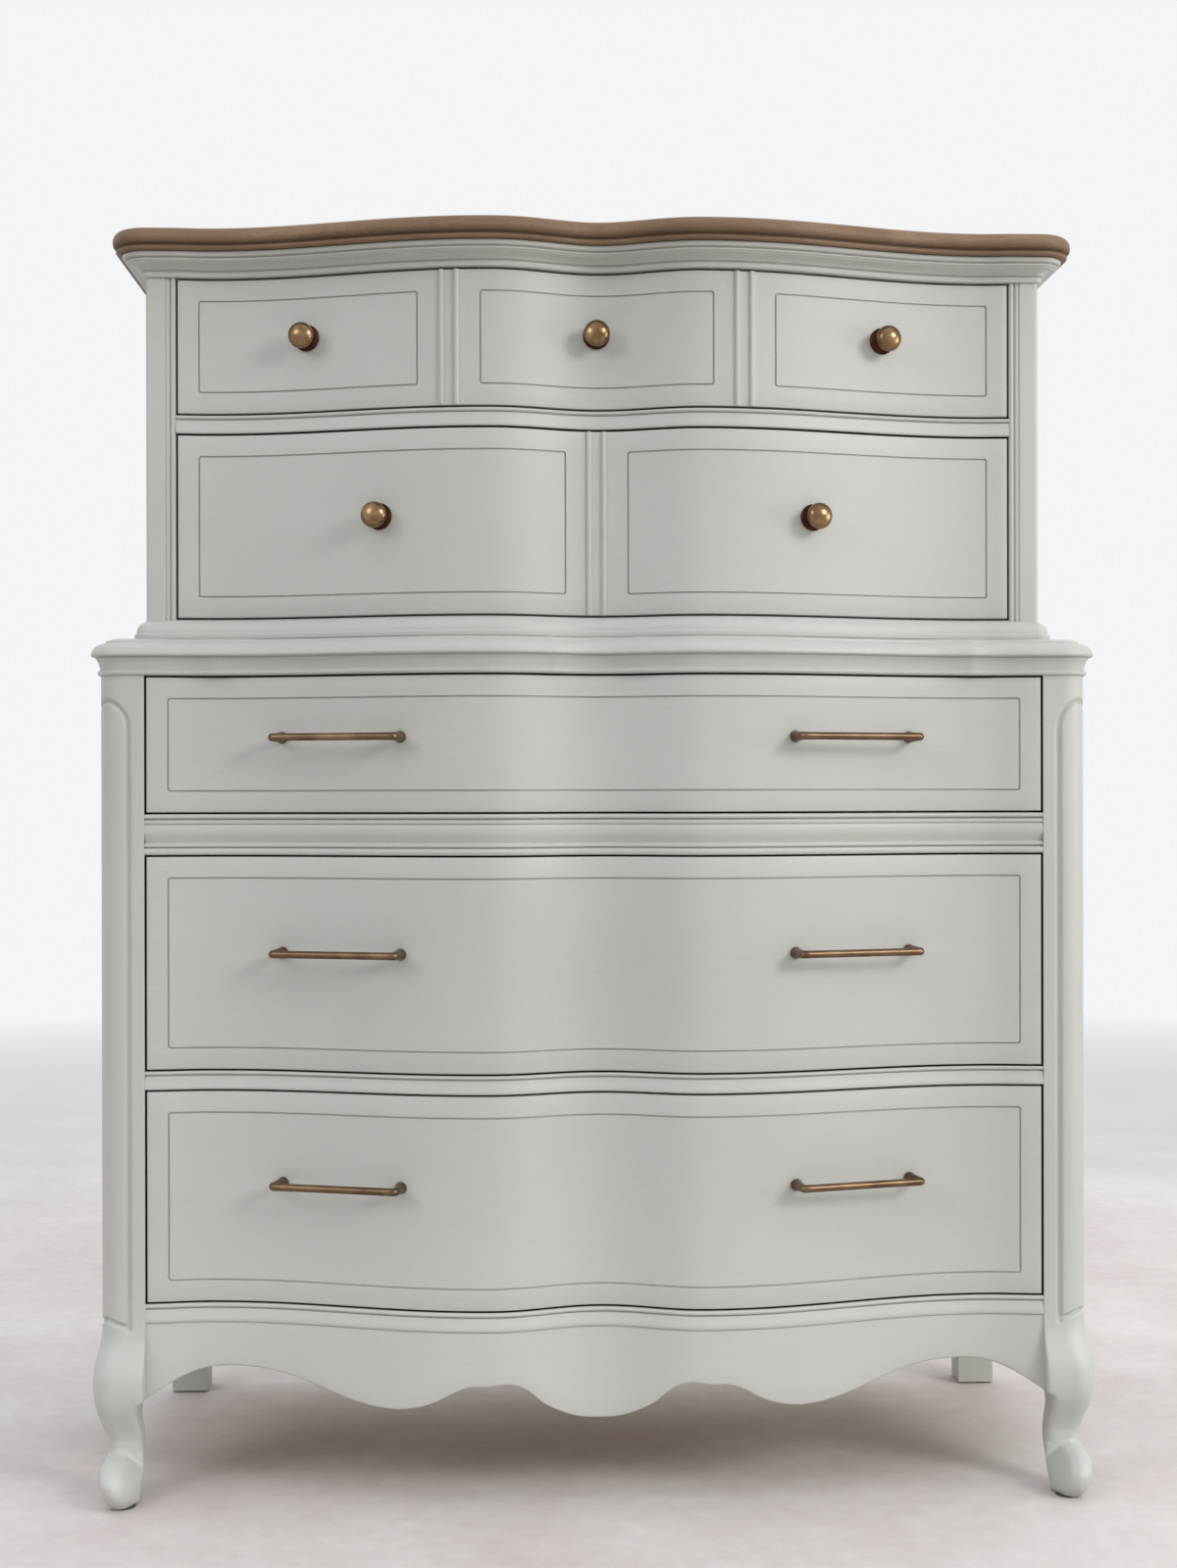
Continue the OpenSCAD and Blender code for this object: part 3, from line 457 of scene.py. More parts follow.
def metal(name, dark, light, rough, brushed=False, spot=60):
    """Brushed or aged metal: tone and gloss that wander, and fine scratches."""
    n = Surface(name)
    scratch = n.noise(n.scaled((30, 1500, 1500) if brushed else (500, 500, 500)), 3, 0.6)
    age = n.noise(n.scaled((spot, spot, spot), (4, 4, 4)), 4, 0.6)
    n.colour(n.ramp(age, [(0.35, dark), (0.65, light)]))
    n.shader.inputs["Metallic"].default_value = 1.0
    n.gloss(n.range(n.weighted((scratch, 0.6), (age, 0.4)), 0.35, 0.65, *rough))
    n.relief(n.bump(scratch, 0.12, 0.0001))
    return n.material


def plastic(name, colour):
    n = Surface(name)
    grit = n.noise(n.scaled((700, 700, 700)), 3, 0.6)
    pale = tuple(min(1, c * 1.5) for c in colour[:3]) + (1,)
    n.colour(n.ramp(grit, [(0.3, colour), (0.8, pale)]))
    n.shader.inputs["Roughness"].default_value = 0.6
    n.relief(n.bump(grit, 0.3, 0.0002))
    return n.material


def plywood(name):
    """Rotary-cut veneer: broad wavy figure on the faces."""
    n = Surface(name)
    warp = n.noise(n.scaled((3, 3, 1.2), (2, 2, 2)), 3, 0.5)
    wave = n.valued("ShaderNodeTexWave", {"Scale": 5, "Distortion": 14, "Detail": 3, "Detail Scale": 1.2},
                    wave_type="BANDS", bands_direction="X")
    n.link(n.scaled((1.7, 1.7, 0.5)), wave.inputs["Vector"])
    fibre = n.noise(n.scaled((700, 700, 12)), 3, 0.6)
    n.colour(n.ramp(n.weighted((wave.outputs["Fac"], 0.16), (warp, 0.5), (fibre, 0.34)), [
        (0.3, rgba(196, 168, 126)), (0.5, rgba(212, 186, 146)), (0.72, rgba(224, 202, 165))]))
    n.shader.inputs["Roughness"].default_value = 0.62
    n.relief(n.bump(fibre, 0.25, 0.0003))
    return n.material


PAINT_X = paint("paint_along_x", "x")
PAINT_Z = paint("paint_along_z", "z")
SLAB_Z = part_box("top_slab")[0].z
# The stained top darkens its quirk under the nosing between these heights: painted shade.
STAIN = wood("stained_top", (rgba(86, 62, 42), rgba(122, 96, 73), rgba(147, 121, 96)), "x", (0.5, 0.62),
             quirk=(SLAB_Z + 0.0042, SLAB_Z + 0.0052, SLAB_Z + 0.0066, SLAB_Z + 0.013))
# Near-black wood on the faces inside the gaps round the drawers: painted shade.
GAP_SHADE = wood("gap_painted_shade", (rgba(24, 18, 14), rgba(33, 25, 19), rgba(43, 33, 26)), "x", (0.75, 0.85))
MAPLE = (rgba(190, 158, 116), rgba(213, 186, 146), rgba(226, 204, 168))
MAPLE_X = wood("maple_along_x", MAPLE, "x", (0.5, 0.62), 0.8, 0.15)
MAPLE_Y = wood("maple_along_y", MAPLE, "y", (0.5, 0.62), 0.8, 0.15)
BIRCH = plywood("birch_plywood")
BRASS = metal("aged_brass", rgba(106, 82, 58), rgba(156, 128, 96), (0.22, 0.34))
# Dark brass on the knobs' necks and bases: painted shade under the heads.
BRASS_NECK_SHADE = metal("brass_neck_painted_shade", rgba(46, 24, 18), rgba(74, 44, 34), (0.35, 0.5))
BRASS_BAR = metal("aged_brass_bar", rgba(92, 73, 57), rgba(128, 104, 81), (0.28, 0.40), True, 30)
STEEL = metal("zinc_steel", rgba(150, 152, 156), rgba(186, 188, 192), (0.28, 0.42))
NYLON = plastic("nylon", rgba(52, 49, 46))


# Top slab, cornice and mouldings. A profile is a list of (overhang, height) points
UPPER_PATH = outline(UPPER_HALF, UPPER_OPEN, SET_BACK, UPPER_R, upper_y)


def moulding(name, node, path, profile):
    """A profile, its heights from the node's lower edge, swept round the case."""
    z0, _ = heights(node)
    build(name, sweep_part(path, [(o, z0 + h) for o, h in profile]), "case", PAINT_X, [node], "paint", 24)


def slab_piece():
    """Stained top: full round nosing over a quirk darkened by painted shade, and a small bead."""
    z0, z1 = heights("top_slab")
    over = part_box("top_slab")[1].x * 1000 - UPPER_HALF
    levels = [(over - 14, z0 + 0.6), (over - 6.5, z0 + 0.2)]
    levels += [(over - 5.6 + 2.2 * sind(a), z0 + 2.7 - 2.5 * cosd(a)) for a in (20, 45, 70, 95, 120, 145)]
    levels += [(over - 5.0, z0 + 5.2), (over - 4.6, z0 + 6.0), (over - 1.9, z0 + 7.0), (over - 0.7, z0 + 8.4)]
    levels += [(over - 9.0 + 9.0 * cosd(a), z0 + 12.5 + (z1 - z0 - 12.5) * sind(a))
               for a in (0, 12, 24, 36, 48, 58, 68, 77, 85)]
    levels += [(over - 11, z1), (over - 18, z1)]
    rings = [[(x + o * nx, min(y + o * ny, CASE_DEPTH), z)
              for (x, y), (nx, ny) in zip(UPPER_PATH, normals(UPPER_PATH))] for o, z in levels]
    build("slab", rings_part(rings), "case", STAIN, ["top_slab"], "stain", 40)


def cornice_piece():
    """Rounded lower band, cove, then a small bead between two quirks and a fillet under the slab."""
    z0, z1 = heights("cornice")
    top = z1 - z0
    profile = [(0, 0), (2.4, 0.1), (3.6, 0.8), (4.2, 2.4), (4.3, 4.4), (3.9, 5.6)]
    profile += [(3.0, 6.2), (3.1, 6.8), (5.6, 7.2), (6.4, 7.8)]
    profile += arc(18.0, 7.8, 11.6, 5.0, 180, 90, 9)
    profile += [(18.2, 13.6), (19.6, 14.0)] + arc(19.4, 15.2, 1.5, 1.2, -60, 60, 4)
    profile += [(19.2, 16.6), (19.4, 17.3), (22.6, 17.8), (23.6, 18.6), (24.2, 20.0)]
    profile += [(24.4, top - 0.8), (24.0, top - 0.1), (0, top - 0.1)]
    moulding("cornice_moulding", "cornice", UPPER_PATH, profile)


def base_piece():
    z0, z1 = heights("base_moulding")
    top = z1 - z0
    profile = [(0, 0), (11.9, 0), (12.4, 0.6), (12.5, 4.4), (12.1, 5.2), (11.0, 5.5), (10.8, 6.2)]
    profile += arc(0.6, 6.3, 9.8, top - 8.3, 2, 84, 10) + [(1.4, top - 1.6), (1.2, top - 0.6), (0, top - 0.2)]
    moulding("upper_base_moulding", "base_moulding", UPPER_PATH, profile)


def waist_land(path, corner):
    """Inner edge of the land on top: parallel to the front, tight at the corners."""
    x0 = WAIST_LAND - LOWER_HALF
    left = [(x0, CASE_DEPTH), (x0, CASE_DEPTH / 2)] + arc(x0 + 1, WAIST_LAND + 1, 1, 1, 180, 270, corner)
    k = len(left)
    front = [(x - WAIST_LAND * nx, y - WAIST_LAND * ny)
             for (x, y), (nx, ny) in zip(path[k:-k], normals(path)[k:-k])]
    return left + front + [(-x, y) for x, y in reversed(left)]


def waist_piece():
    """Bead, cove, sharp nose, full round and a stepped land on top."""
    z0, z1 = heights("waist_moulding")
    corner, inner_foot = 14, 20.5
    path = outline(LOWER_HALF, LOWER_OPEN, 0, LOWER_R, creased, 360, corner)
    profile = [(0, inner_foot), (0, 0)] + arc(0.5, 2.9, 3.1, 2.9, -80, 78, 8) + [(1.2, 6.0), (1.0, 6.8)]
    profile += [(1.4, 9.0), (2.2, 12.0), (3.2, 14.6), (4.5, 16.6), (5.4, 17.6)]
    profile += [(5.2, 19.4), (8.7, 19.7), (9.9, 20.4), (10.5, 21.6), (10.4, 22.8)]
    profile += [(9.9, 24.6), (8.9, 26.8), (7.3, 29.0), (5.0, 31.0), (2.2, 32.6), (-1.0, 33.6)]
    profile += [(-3.4, 34.0), (-4.2, 34.4), (-4.6, 36.0), (-5.4, 36.6), (-9, 37.6), (-12, z1 - z0)]
    rings = []
    for (x, y), (nx, ny), (ix, iy) in zip(path, normals(path), waist_land(path, corner)):
        rings.append([(x + o * nx, y + o * ny, z0 + h) for o, h in profile]
                     + [(ix, iy, z1), (ix, iy, z0 + inner_foot)])
    build("waist_band", rings_part(rings), "case", PAINT_X, ["waist_moulding"], "paint", 24)


# Rails. Their profiles are lists of (distance behind the front line, height)
RAIL_DEPTH = 60.0


def rail_piece(name, node, open_half, line, shape, base_y):
    """A rail of one moulded profile. Its faces beside the gaps take near-black wood: painted shade in the gaps."""
    z0, z1 = heights(node)
    profile = shape(z1 - z0)
    rings = []
    for x in spread(-open_half, open_half, 150):
        ring = [(x, line(x) + back, z0 + h) for back, h in profile]
        ring += [(x, base_y + RAIL_DEPTH, z0 + profile[k][1]) for k in (-1, 0)]
        rings.append(ring)

    def in_shaded_gap(x, y, z):
        return abs(x) < open_half - 1 and y - line(x) > 3 and (z > z1 - 0.1 or z < z0 + 0.1)

    build(name, rings_part(rings), "case", PAINT_X, [node], "paint", 24, in_shaded_gap)


def bead(r, back, h0, h1):
    """Points of a half-round bead between two heights, its top standing at distance back."""
    mid, half = (h0 + h1) / 2, (h1 - h0) / 2
    return [(back + r * (1 - sind(a)), mid - half * cosd(a)) for a in (8, 35, 62, 90, 118, 145, 172)]


def thin_profile(h):
    """Ovolo that is fullest near the bottom, a groove, and a bead on top."""
    p = [(1.6, 0), (0.5, 0.4), (0.0, 1.4), (0.0, 2.8), (0.3, 4.8), (0.9, 7.2), (1.5, 9.6), (1.9, 11.8)]
    p += [(2.0, h - 5.6), (2.3, h - 5.0), (3.8, h - 4.7), (3.8, h - 4.1), (2.4, h - 3.8)]
    return p + bead(2.0, 0.4, h - 3.7, h - 0.3) + [(2.4, h)]


def middle_profile(h):
    """Beads at both edges, quirks behind them, and a broad round that falls back to a fillet below."""
    drawn = 42.0
    p = [(2.2, 0)] + bead(1.9, 0.3, 0.3, 6.6)
    p += [(3.9, 7.1), (3.9, 7.8), (1.9, 8.2), (1.3, 9.0), (1.2, 10.4), (1.6, 11.6), (3.6, 12.0)]
    p += [(4.5, 12.6), (4.3, 13.8), (3.5, 15.8), (2.4, 18.2), (1.5, 20.6), (0.9, 23.2), (0.7, 26.0)]
    p += [(0.9, 28.6), (1.4, 30.6), (2.4, 31.2), (2.6, 31.7), (1.3, 32.2), (0.9, 33.4), (1.0, 34.8)]
    p += [(1.6, 35.8), (3.9, 36.2), (3.9, 36.9), (2.3, 37.3)] + bead(1.9, 0.3, 37.4, 41.7) + [(2.2, drawn)]
    return [(back, z * h / drawn) for back, z in p]


def bottom_profile(h):
    """Quirk over the apron, a round, a quirk and a bead on top."""
    p = [(2.6, 0), (2.4, 0.5), (1.0, 0.9), (0.5, 1.8), (0.3, 3.2), (0.3, 5.0), (0.6, 7.2), (1.1, 9.6)]
    p += [(1.7, 11.8), (2.0, h - 6.4), (2.3, h - 5.9), (3.8, h - 5.6), (3.8, h - 5.0), (2.4, h - 4.7)]
    return p + bead(2.0, 0.3, h - 4.6, h - 0.3) + [(2.3, h)]


def rails():
    rail_piece("row1_rail", "upper_mid_rail", UPPER_OPEN, upper_y, thin_profile, SET_BACK)
    rail_piece("row3_rail", "middle_rail", LOWER_OPEN, lower_y, middle_profile, 0.0)
    rail_piece("row4_rail", "lower_rail", LOWER_OPEN, lower_y, thin_profile, 0.0)
    rail_piece("row5_rail", "bottom_rail", LOWER_OPEN, lower_y, bottom_profile, 0.0)


# Lower edge of the apron: distance from the middle, and height
APRON = [(0, 86.0), (12, 86.6), (24, 88.8), (40, 95.0), (56, 104.2), (72, 118.4), (84, 124.9), (97, 127.0),
         (108, 125.4), (117, 124.5), (128, 125.1), (141, 121.8), (152, 116.6), (168, 108.2), (187, 102.2),
         (207, 99.5), (224, 100.4), (245, 104.2), (265, 109.8), (290, 118.6), (314, 126.2), (336, 131.4),
         (358, 134.2), (381, 135.0), (398, 133.8), (412, 130.9), (430, 124.0), (446, 115.2), (458, 107.6),
         (467, 101.5)]


def apron_piece():
    """Shaped apron with a softened lower edge."""
    top = heights("apron")[1]
    set_in, thick, r = 2, 22, 2.2
    columns = []
    for x in spread(-LOWER_OPEN, LOWER_OPEN, 300):
        y, z = lower_y(x) + set_in, monotone(*zip(*APRON), abs(x))
        back = LOWER_FLARE - swell(x) + thick
        ring = [(y + 0.2, top)] + [(y, z + r + (top - z - r) * t) for t in (0.98, 0.75, 0.5, 0.25)]
        ring += [(y + r - r * cosd(a), z + r - r * sind(a)) for a in (0, 30, 60, 90)]
        ring += [(back - r + r * sind(a), z + r - r * cosd(a)) for a in (0, 45, 90)]
        ring += [(back, top)]
        columns.append([(x, yy, zz) for yy, zz in ring])
    build("apron_board", rings_part(columns), "case", PAINT_X, ["apron"], "paint", 35)


# Upper posts: points of the front face across its width, and back from its plane
POST_FACE = [(19.4, 0), (19.9, 0.5), (20.2, 1.3), (20.9, 1.4), (21.3, 0.9), (21.9, 0.6), (23.4, 0.6), (24.0, 1.0),
             (24.5, 2.4), (25.3, 2.6), (25.7, 2.7)]


def upper_post_part():
    """Square post whose front carries two quirks, a fillet between them and a bead beside the opening."""
    w = UPPER_HALF - UPPER_OPEN
    x0, y = -UPPER_HALF, SET_BACK
    edge = POST_FACE + [(28.2 - 2.4 * cosd(a), 2.6 - 2.3 * sind(a)) for a in (8, 35, 60, 90, 120, 145, 172)]
    plan = [(x0, y + w)] + arc(x0 + UPPER_R, y + UPPER_R, UPPER_R, UPPER_R, 180, 270, 8)
    plan += [(x0 + dx, y + dy) for dx, dy in edge + [(w, 2.8), (w, w)]]
    return rings_part([[(x, yy, z) for x, yy in plan] for z in heights("upper_post_left")])


def upper_posts():
    part = upper_post_part()
    for side, sub in (("left", part), ("right", mirrored(part))):
        # The post's side beside the opening takes near-black wood: painted shade in the gap.
        build(f"upper_stile_{side}", sub, "case", PAINT_Z, [f"upper_post_{side}"], "paint", 24,
              in_shaded_gap=lambda x, y, z: abs(x) < UPPER_OPEN + 0.1)


# Lower posts and cabriole legs
SOLE_Z, ANKLE_Z, KNEE_TOP, POST_TOP = 2.0, 52.0, 160.0, 870.0
ANKLE_FRONT = -2.8
# Sections of a front leg from the sole up: height, reach out, in, forward and back of the post's
# outer corner, and the radii of the outer front corner and of the others
LEG = [
    (2.0, -16.4, 44.2, 38.6, -6.0, 12.0, 8.0), (3.2, -15.8, 44.6, 40.0, -5.0, 12.5, 8.5),
    (6.0, -14.6, 45.0, 43.6, -3.0, 13.5, 9.5), (10.0, -13.2, 45.3, 48.4, 0.5, 15.0, 10.5),
    (15.0, -11.6, 45.6, 52.0, 5.0, 16.0, 11.0), (20.0, -10.0, 45.8, 53.7, 9.5, 16.8, 11.5),
    (25.0, -8.7, 45.7, 54.0, 14.0, 17.2, 11.5), (30.0, -7.7, 45.5, 52.6, 18.0, 17.2, 11.5),
    (34.0, -7.1, 45.4, 49.4, 21.0, 16.8, 11.0), (37.5, -6.9, 45.3, 44.6, 23.4, 16.2, 10.5),
    (40.2, -7.1, 45.2, 38.0, 25.2, 15.4, 10.0), (42.2, -7.6, 45.2, 29.5, 26.6, 14.6, 9.8),
    (43.6, -8.2, 45.2, 19.0, 27.5, 14.0, 9.6), (44.5, -8.8, 45.2, 9.5, 28.2, 13.4, 9.5),
    (45.4, -9.3, 45.2, 2.0, 28.8, 13.0, 9.5), (47.5, -9.5, 45.1, -1.4, 29.8, 12.8, 9.5),
    (ANKLE_Z, -9.1, 44.9, ANKLE_FRONT, 31.2, 13.0, 9.5), (58.0, -7.9, 44.4, -2.8, 32.8, 13.4, 9.5),
    (64.0, -6.0, 43.8, -1.4, 34.4, 14.0, 11.0), (70.0, -3.9, 43.0, 0.8, 36.0, 14.6, 12.0),
    (76.0, -1.7, 41.6, 3.6, 37.8, 15.6, 13.0), (82.0, 0.4, 40.8, 6.4, 39.4, 16.8, 14.0),
    (88.0, 2.2, 40.8, 9.2, 40.8, 18.2, 14.0), (94.0, 3.7, 41.4, 11.6, 42.0, 19.8, 12.0),
    (99.0, 4.7, 43.0, 13.0, 42.8, 21.0, 8.0), (102.0, 5.2, 48.5, 13.7, 43.2, 21.6, 5.0),
    (109.0, 6.1, 48.5, 14.7, 43.8, 23.0, 4.4), (118.0, 6.5, 48.5, 15.0, 44.4, 24.4, 4.0),
    (127.0, 6.2, 48.5, 14.2, 44.8, 25.2, 3.5), (136.0, 5.2, 48.5, 12.0, 45.2, 26.0, 3.0),
    (145.0, 3.6, 48.5, 8.6, 45.5, 26.8, 2.4), (154.0, 1.8, 48.5, 4.8, 45.8, 27.4, 1.8),
    (163.0, 0.7, 48.5, 1.9, 46.0, 27.8, 1.4), (172.0, 0.1, 48.5, 0.5, 46.0, 28.0, 1.0),
    (180.0, 0.0, 48.5, 0.0, 46.0, 28.0, 0.8),
]
LEG_Z, *LEG_COLUMNS = zip(*LEG)
# The pad of the toe: across its width, the height of the crease behind it and its share of the reach
CREASE_Z = 44.6
CREASE = ([0.0, 0.12, 0.32, 0.55, 0.75, 1.0], [41.0, 43.4, CREASE_Z, 43.4, 38.0, 26.0])
PAD_SHARE = ([0.0, 0.35, 0.6, 0.8, 1.0], [1.0, 1.0, 0.92, 0.7, 0.4])
# The raised field, rolled out round the corner: half width, point and rise of its foot, and its arch
FIELD_S, FIELD_LOW, FIELD_UP, FIELD_SPRING, FIELD_RISE = 25.5, 177.0, 7.0, 794.0, 29.0
FIELD_ARCH = [(FIELD_S * cosd(k), FIELD_SPRING + FIELD_RISE * sind(k)) for k in range(0, 91, 3)]
# Half length of the rounded corner, and length of each flat face, in that rolled-out plane
CORNER_S, FACE_S = 22.0, 18.0


def field_distance(s, z):
    """Distance, in the plane rolled out round the corner, to the edge of the raised field."""
    foot = FIELD_LOW - 3
    if foot <= z <= FIELD_SPRING:
        best = abs(abs(s) - FIELD_S)
    else:
        best = math.hypot(abs(s) - FIELD_S, z - (foot if z < FIELD_LOW else FIELD_SPRING))
    if abs(s) <= FIELD_S:
        best = min(best, abs(z - FIELD_LOW - FIELD_UP * (1 - abs(s) / FIELD_S)))
    if z > FIELD_SPRING - 10:
        best = min(best, min(math.hypot(abs(s) - px, z - pz) for px, pz in FIELD_ARCH))
    return best


def groove(d, half, depth):
    """A soft hollow of the given half width."""
    return depth * 0.5 * (1 + math.cos(math.pi * d / half)) if d < half else 0.0


def toe_back(t, z, front):
    """How far the foot's front falls back at t of its width: the pad's crease is highest outside."""
    if z >= ANKLE_Z:
        return 0.0
    t = max(0.0, min(1.0, t))
    level = max(z, min(z * CREASE_Z / monotone(*CREASE, t), ANKLE_Z))
    full = monotone(LEG_Z, LEG_COLUMNS[2], level)
    return front - (ANKLE_FRONT + (full - ANKLE_FRONT) * monotone(*PAD_SHARE, t))


def leg_ring(z):
    """One section of a left leg and post."""
    out, inn, front, back, r, s = [monotone(LEG_Z, column, z) for column in LEG_COLUMNS]
    x0, x1, y0, y1 = -LOWER_HALF - out, -LOWER_HALF + inn, -front, back
    wide, deep = x1 - x0, y1 - y0
    f = s if z < 50 else max(min(s, 6.0), s - (z - 50) / 2)
    ring = []
    end = CORNER_S + FACE_S
    steps = [-end + 2.5 * i for i in range(4)] + spread(-31, 31, 68) + [end - 2.5 * i for i in range(3, -1, -1)]
    for t in steps:
        u = (abs(t) - CORNER_S) / FACE_S
        if u <= 0:
            a = 225 + 45 * t / CORNER_S
            nx, ny = cosd(a), sind(a)
            px, py = x0 + r + r * nx, y0 + r + r * ny
        elif t < 0:
            px, py, nx, ny = x0, y0 + r + (y1 - s - y0 - r) * u, -1.0, 0.0
        else:
            px, py, nx, ny = x0 + r + (x1 - f - x0 - r) * u, y0, 0.0, -1.0
        d = groove(field_distance(t, z), 3.9, 3.4) if z > KNEE_TOP else 0.0
        fall = toe_back((px - x0) / wide, z, front) * (y1 - py) / deep
        ring.append((px - nx * d, py - ny * d + fall, z))
    front_inner = arc(x1 - f, y0 + f, f, f, 270, 360, 6)[1:]
    ring += [(px, py + toe_back((px - x0) / wide, z, front) * (y1 - py) / deep, z) for px, py in front_inner]
    rear = arc(x1 - s, y1 - s, s, s, 0, 90, 6) + arc(x0 + s, y1 - s, s, s, 90, 180, 6)[:-1]
    return ring + [(px, py, z) for px, py in rear]


def legs():
    zs = [SOLE_Z, SOLE_Z + 0.5, SOLE_Z + 1.2] + spread(4.4, 36, 20) + spread(37, 50, 26) + spread(52, 158, 46)
    zs += spread(159.5, 190, 28) + [194, 200]
    zs += spread(240, 770, 8) + spread(782, 832, 32) + [842, 852, 862, POST_TOP]
    part = rings_part([leg_ring(z) for z in zs])
    for side, sub in (("left", part), ("right", mirrored(part))):
        # The leg's side beside the opening, above the knee, takes near-black wood: painted shade in the gap.
        build(f"leg_{side}", sub, "case", PAINT_Z, [f"front_leg_{side}"], "paint", 50,
              in_shaded_gap=lambda x, y, z: abs(x) < LOWER_OPEN + 0.1 and y > 1 and z > 200)


# Drawer fronts: how far they stand behind the front line, their thickness and softened edge, the inset
# of the routed lines, and the beads, which stand in pairs
FRONT_IN, FRONT_THICK, EDGE, INSET = 1.0, 22.0, 1.2, 22.0
BEAD_X, BEAD_PAIR, BEAD_R, BEAD_RISE = 152.0, 21.0, 2.8, 1.2
LINE_HALF, LINE_DEPTH, LINE_R = 0.95, 1.9, 2.4


def rounded_distance(x, z, x0, x1, z0, z1, r):
    """Distance to the outline of a rectangle with rounded corners."""
    cx, cz = (x0 + x1) / 2, (z0 + z1) / 2
    dx, dz = abs(x - cx) - ((x1 - x0) / 2 - r), abs(z - cz) - ((z1 - z0) / 2 - r)
    outside = math.hypot(max(dx, 0), max(dz, 0))
    return abs(outside + min(max(dx, dz), 0) - r)


def routed(d):
    """Depth of a routed line: steep walls and a flat bottom."""
    return LINE_DEPTH * min(1.0, (LINE_HALF - d) / (0.4 * LINE_HALF)) if d < LINE_HALF else 0.0


def soften(d):
    return EDGE - math.sqrt(max(0.0, EDGE ** 2 - (EDGE - d) ** 2)) if d < EDGE else 0.0


def front_piece(row, panels, beads, line, flare, base_y):
    """Serpentine drawer front: routed lines inset from its edges, and pairs of beads between panels."""
    node = f"drawer_{row}_front"
    x1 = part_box(node)[1].x * 1000
    z0, z1 = heights(node)
    rects = [(a, b, z0 + INSET, z1 - INSET) for a, b in panels]
    centres = [s * (BEAD_PAIR / 2 - BEAD_R) + c for c in beads for s in (-1, 1)]
    bead_turns = (0, 8, 25, 45, 65, 90, 115, 135, 155, 172, 180)
    lines_in = [-1.0, -0.6, -0.3, 0, 0.3, 0.6, 1.0, 1.5, 2.0, 2.6, 3.4]
    xs = [-x1, -x1 + 0.4, -x1 + EDGE, x1 - EDGE, x1 - 0.4, x1]
    xs += [c - BEAD_R * cosd(a) for c in centres for a in bead_turns]
    xs += [a + o for a, *_ in rects for o in lines_in] + [b - o for _, b, *_ in rects for o in lines_in]
    xs = merge_lines(xs, spread(-x1, x1, 170))
    zs = [z0, z0 + 0.4, z0 + EDGE, z1 - EDGE, z1 - 0.4, z1]
    zs += [z0 + INSET + o for o in lines_in] + [z1 - INSET - o for o in lines_in]
    zs = merge_lines(zs, spread(z0, z1, 10))

    def face(x, z):
        y = line(x) + FRONT_IN
        for c in centres:
            if abs(x - c) < BEAD_R:
                y -= BEAD_RISE * math.sqrt(BEAD_R ** 2 - (x - c) ** 2)
        y += max(soften(min(x + x1, x1 - x)), soften(min(z - z0, z1 - z)))
        for a, b, c, d in rects:
            if a - 3 < x < b + 3:
                y += routed(rounded_distance(x, z, a, b, c, d, LINE_R))
        return y

    m, last = len(zs), len(xs) - 1
    verts = [(x, face(x, z), z) for x in xs for z in zs]
    back = len(verts)
    verts += [(x, base_y + FRONT_IN + flare - swell(x) + FRONT_THICK, z) for x in xs for z in (z0, z1)]
    faces = []
    for i in range(last):
        for j in range(m - 1):
            faces.append((i * m + j, (i + 1) * m + j, (i + 1) * m + j + 1, i * m + j + 1))
        a, b = back + 2 * i, back + 2 * i + 2
        faces.append((a, a + 1, b + 1, b))
        faces.append((i * m, a, b, (i + 1) * m))
        faces.append((i * m + m - 1, (i + 1) * m + m - 1, b + 1, a + 1))
    faces.append(tuple(range(m)) + (back + 1, back))
    faces.append(tuple(last * m + j for j in range(m - 1, -1, -1)) + (back + 2 * last, back + 2 * last + 1))
    build(f"front_row{row}", (verts, faces), f"drawer_{row}", PAINT_X, [node], "paint", 28)


def fronts():
    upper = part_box("drawer_1_front")[1].x * 1000 - INSET
    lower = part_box("drawer_3_front")[1].x * 1000 - INSET
    gap = BEAD_PAIR / 2 + INSET
    thirds = [(-upper, -BEAD_X - gap), (-BEAD_X + gap, BEAD_X - gap), (BEAD_X + gap, upper)]
    front_piece(1, thirds, [-BEAD_X, BEAD_X], upper_y, UPPER_FLARE, SET_BACK)
    front_piece(2, [(-upper, -gap), (gap, upper)], [0.0], upper_y, UPPER_FLARE, SET_BACK)
    for row in (3, 4, 5):
        front_piece(row, [(-lower, lower)], [], lower_y, LOWER_FLARE, 0.0)


# Knobs and pulls: their middles across each row, half the distance between a pull's feet, and the seat
# of the screws behind the front
KNOBS = {1: (-300.0, 0.0, 300.0), 2: (-224.0, 224.0)}
PULL_X, PULL_HALF, SCREW_SEAT = 263.0, 64.0, -22.6


def seat(row, kind, line, x, half):
    """Maps (u, v, w) to the model: w points out of the drawer front at x, u along it, v up."""
    low, high = heights(f"drawer_{row}_{kind}")
    y0, y1 = line(x - half) + FRONT_IN, line(x + half) + FRONT_IN
    cy, cz, angle = (y0 + y1) / 2, (low + high) / 2, math.atan2(y1 - y0, 2 * half)
    c, s = math.cos(angle), math.sin(angle)

    def place(u, v, w):
        return (x + u * c + w * s, cy + u * s - w * c, cz + v)

    return place


def screw_part(place, shift=0.0):
    """Pan head with a round recess, and the shank into the handle."""
    head = [(0.0, 0.0), (1.95, 0.0), (4.0, 0.0), (4.0, -0.7), (3.7, -1.5), (3.0, -2.1), (1.9, -2.45), (1.0, -1.8),
            (0.0, -1.3)]
    shank = [(0.0, SCREW_SEAT), (1.98, SCREW_SEAT), (1.98, 9.6), (0.0, 9.6)]

    def moved(u, v, w):
        return place(u + shift, v, w)

    return join_parts([lathe_part([(r, SCREW_SEAT + w) for r, w in head], 28, moved), lathe_part(shank, 20, moved)])


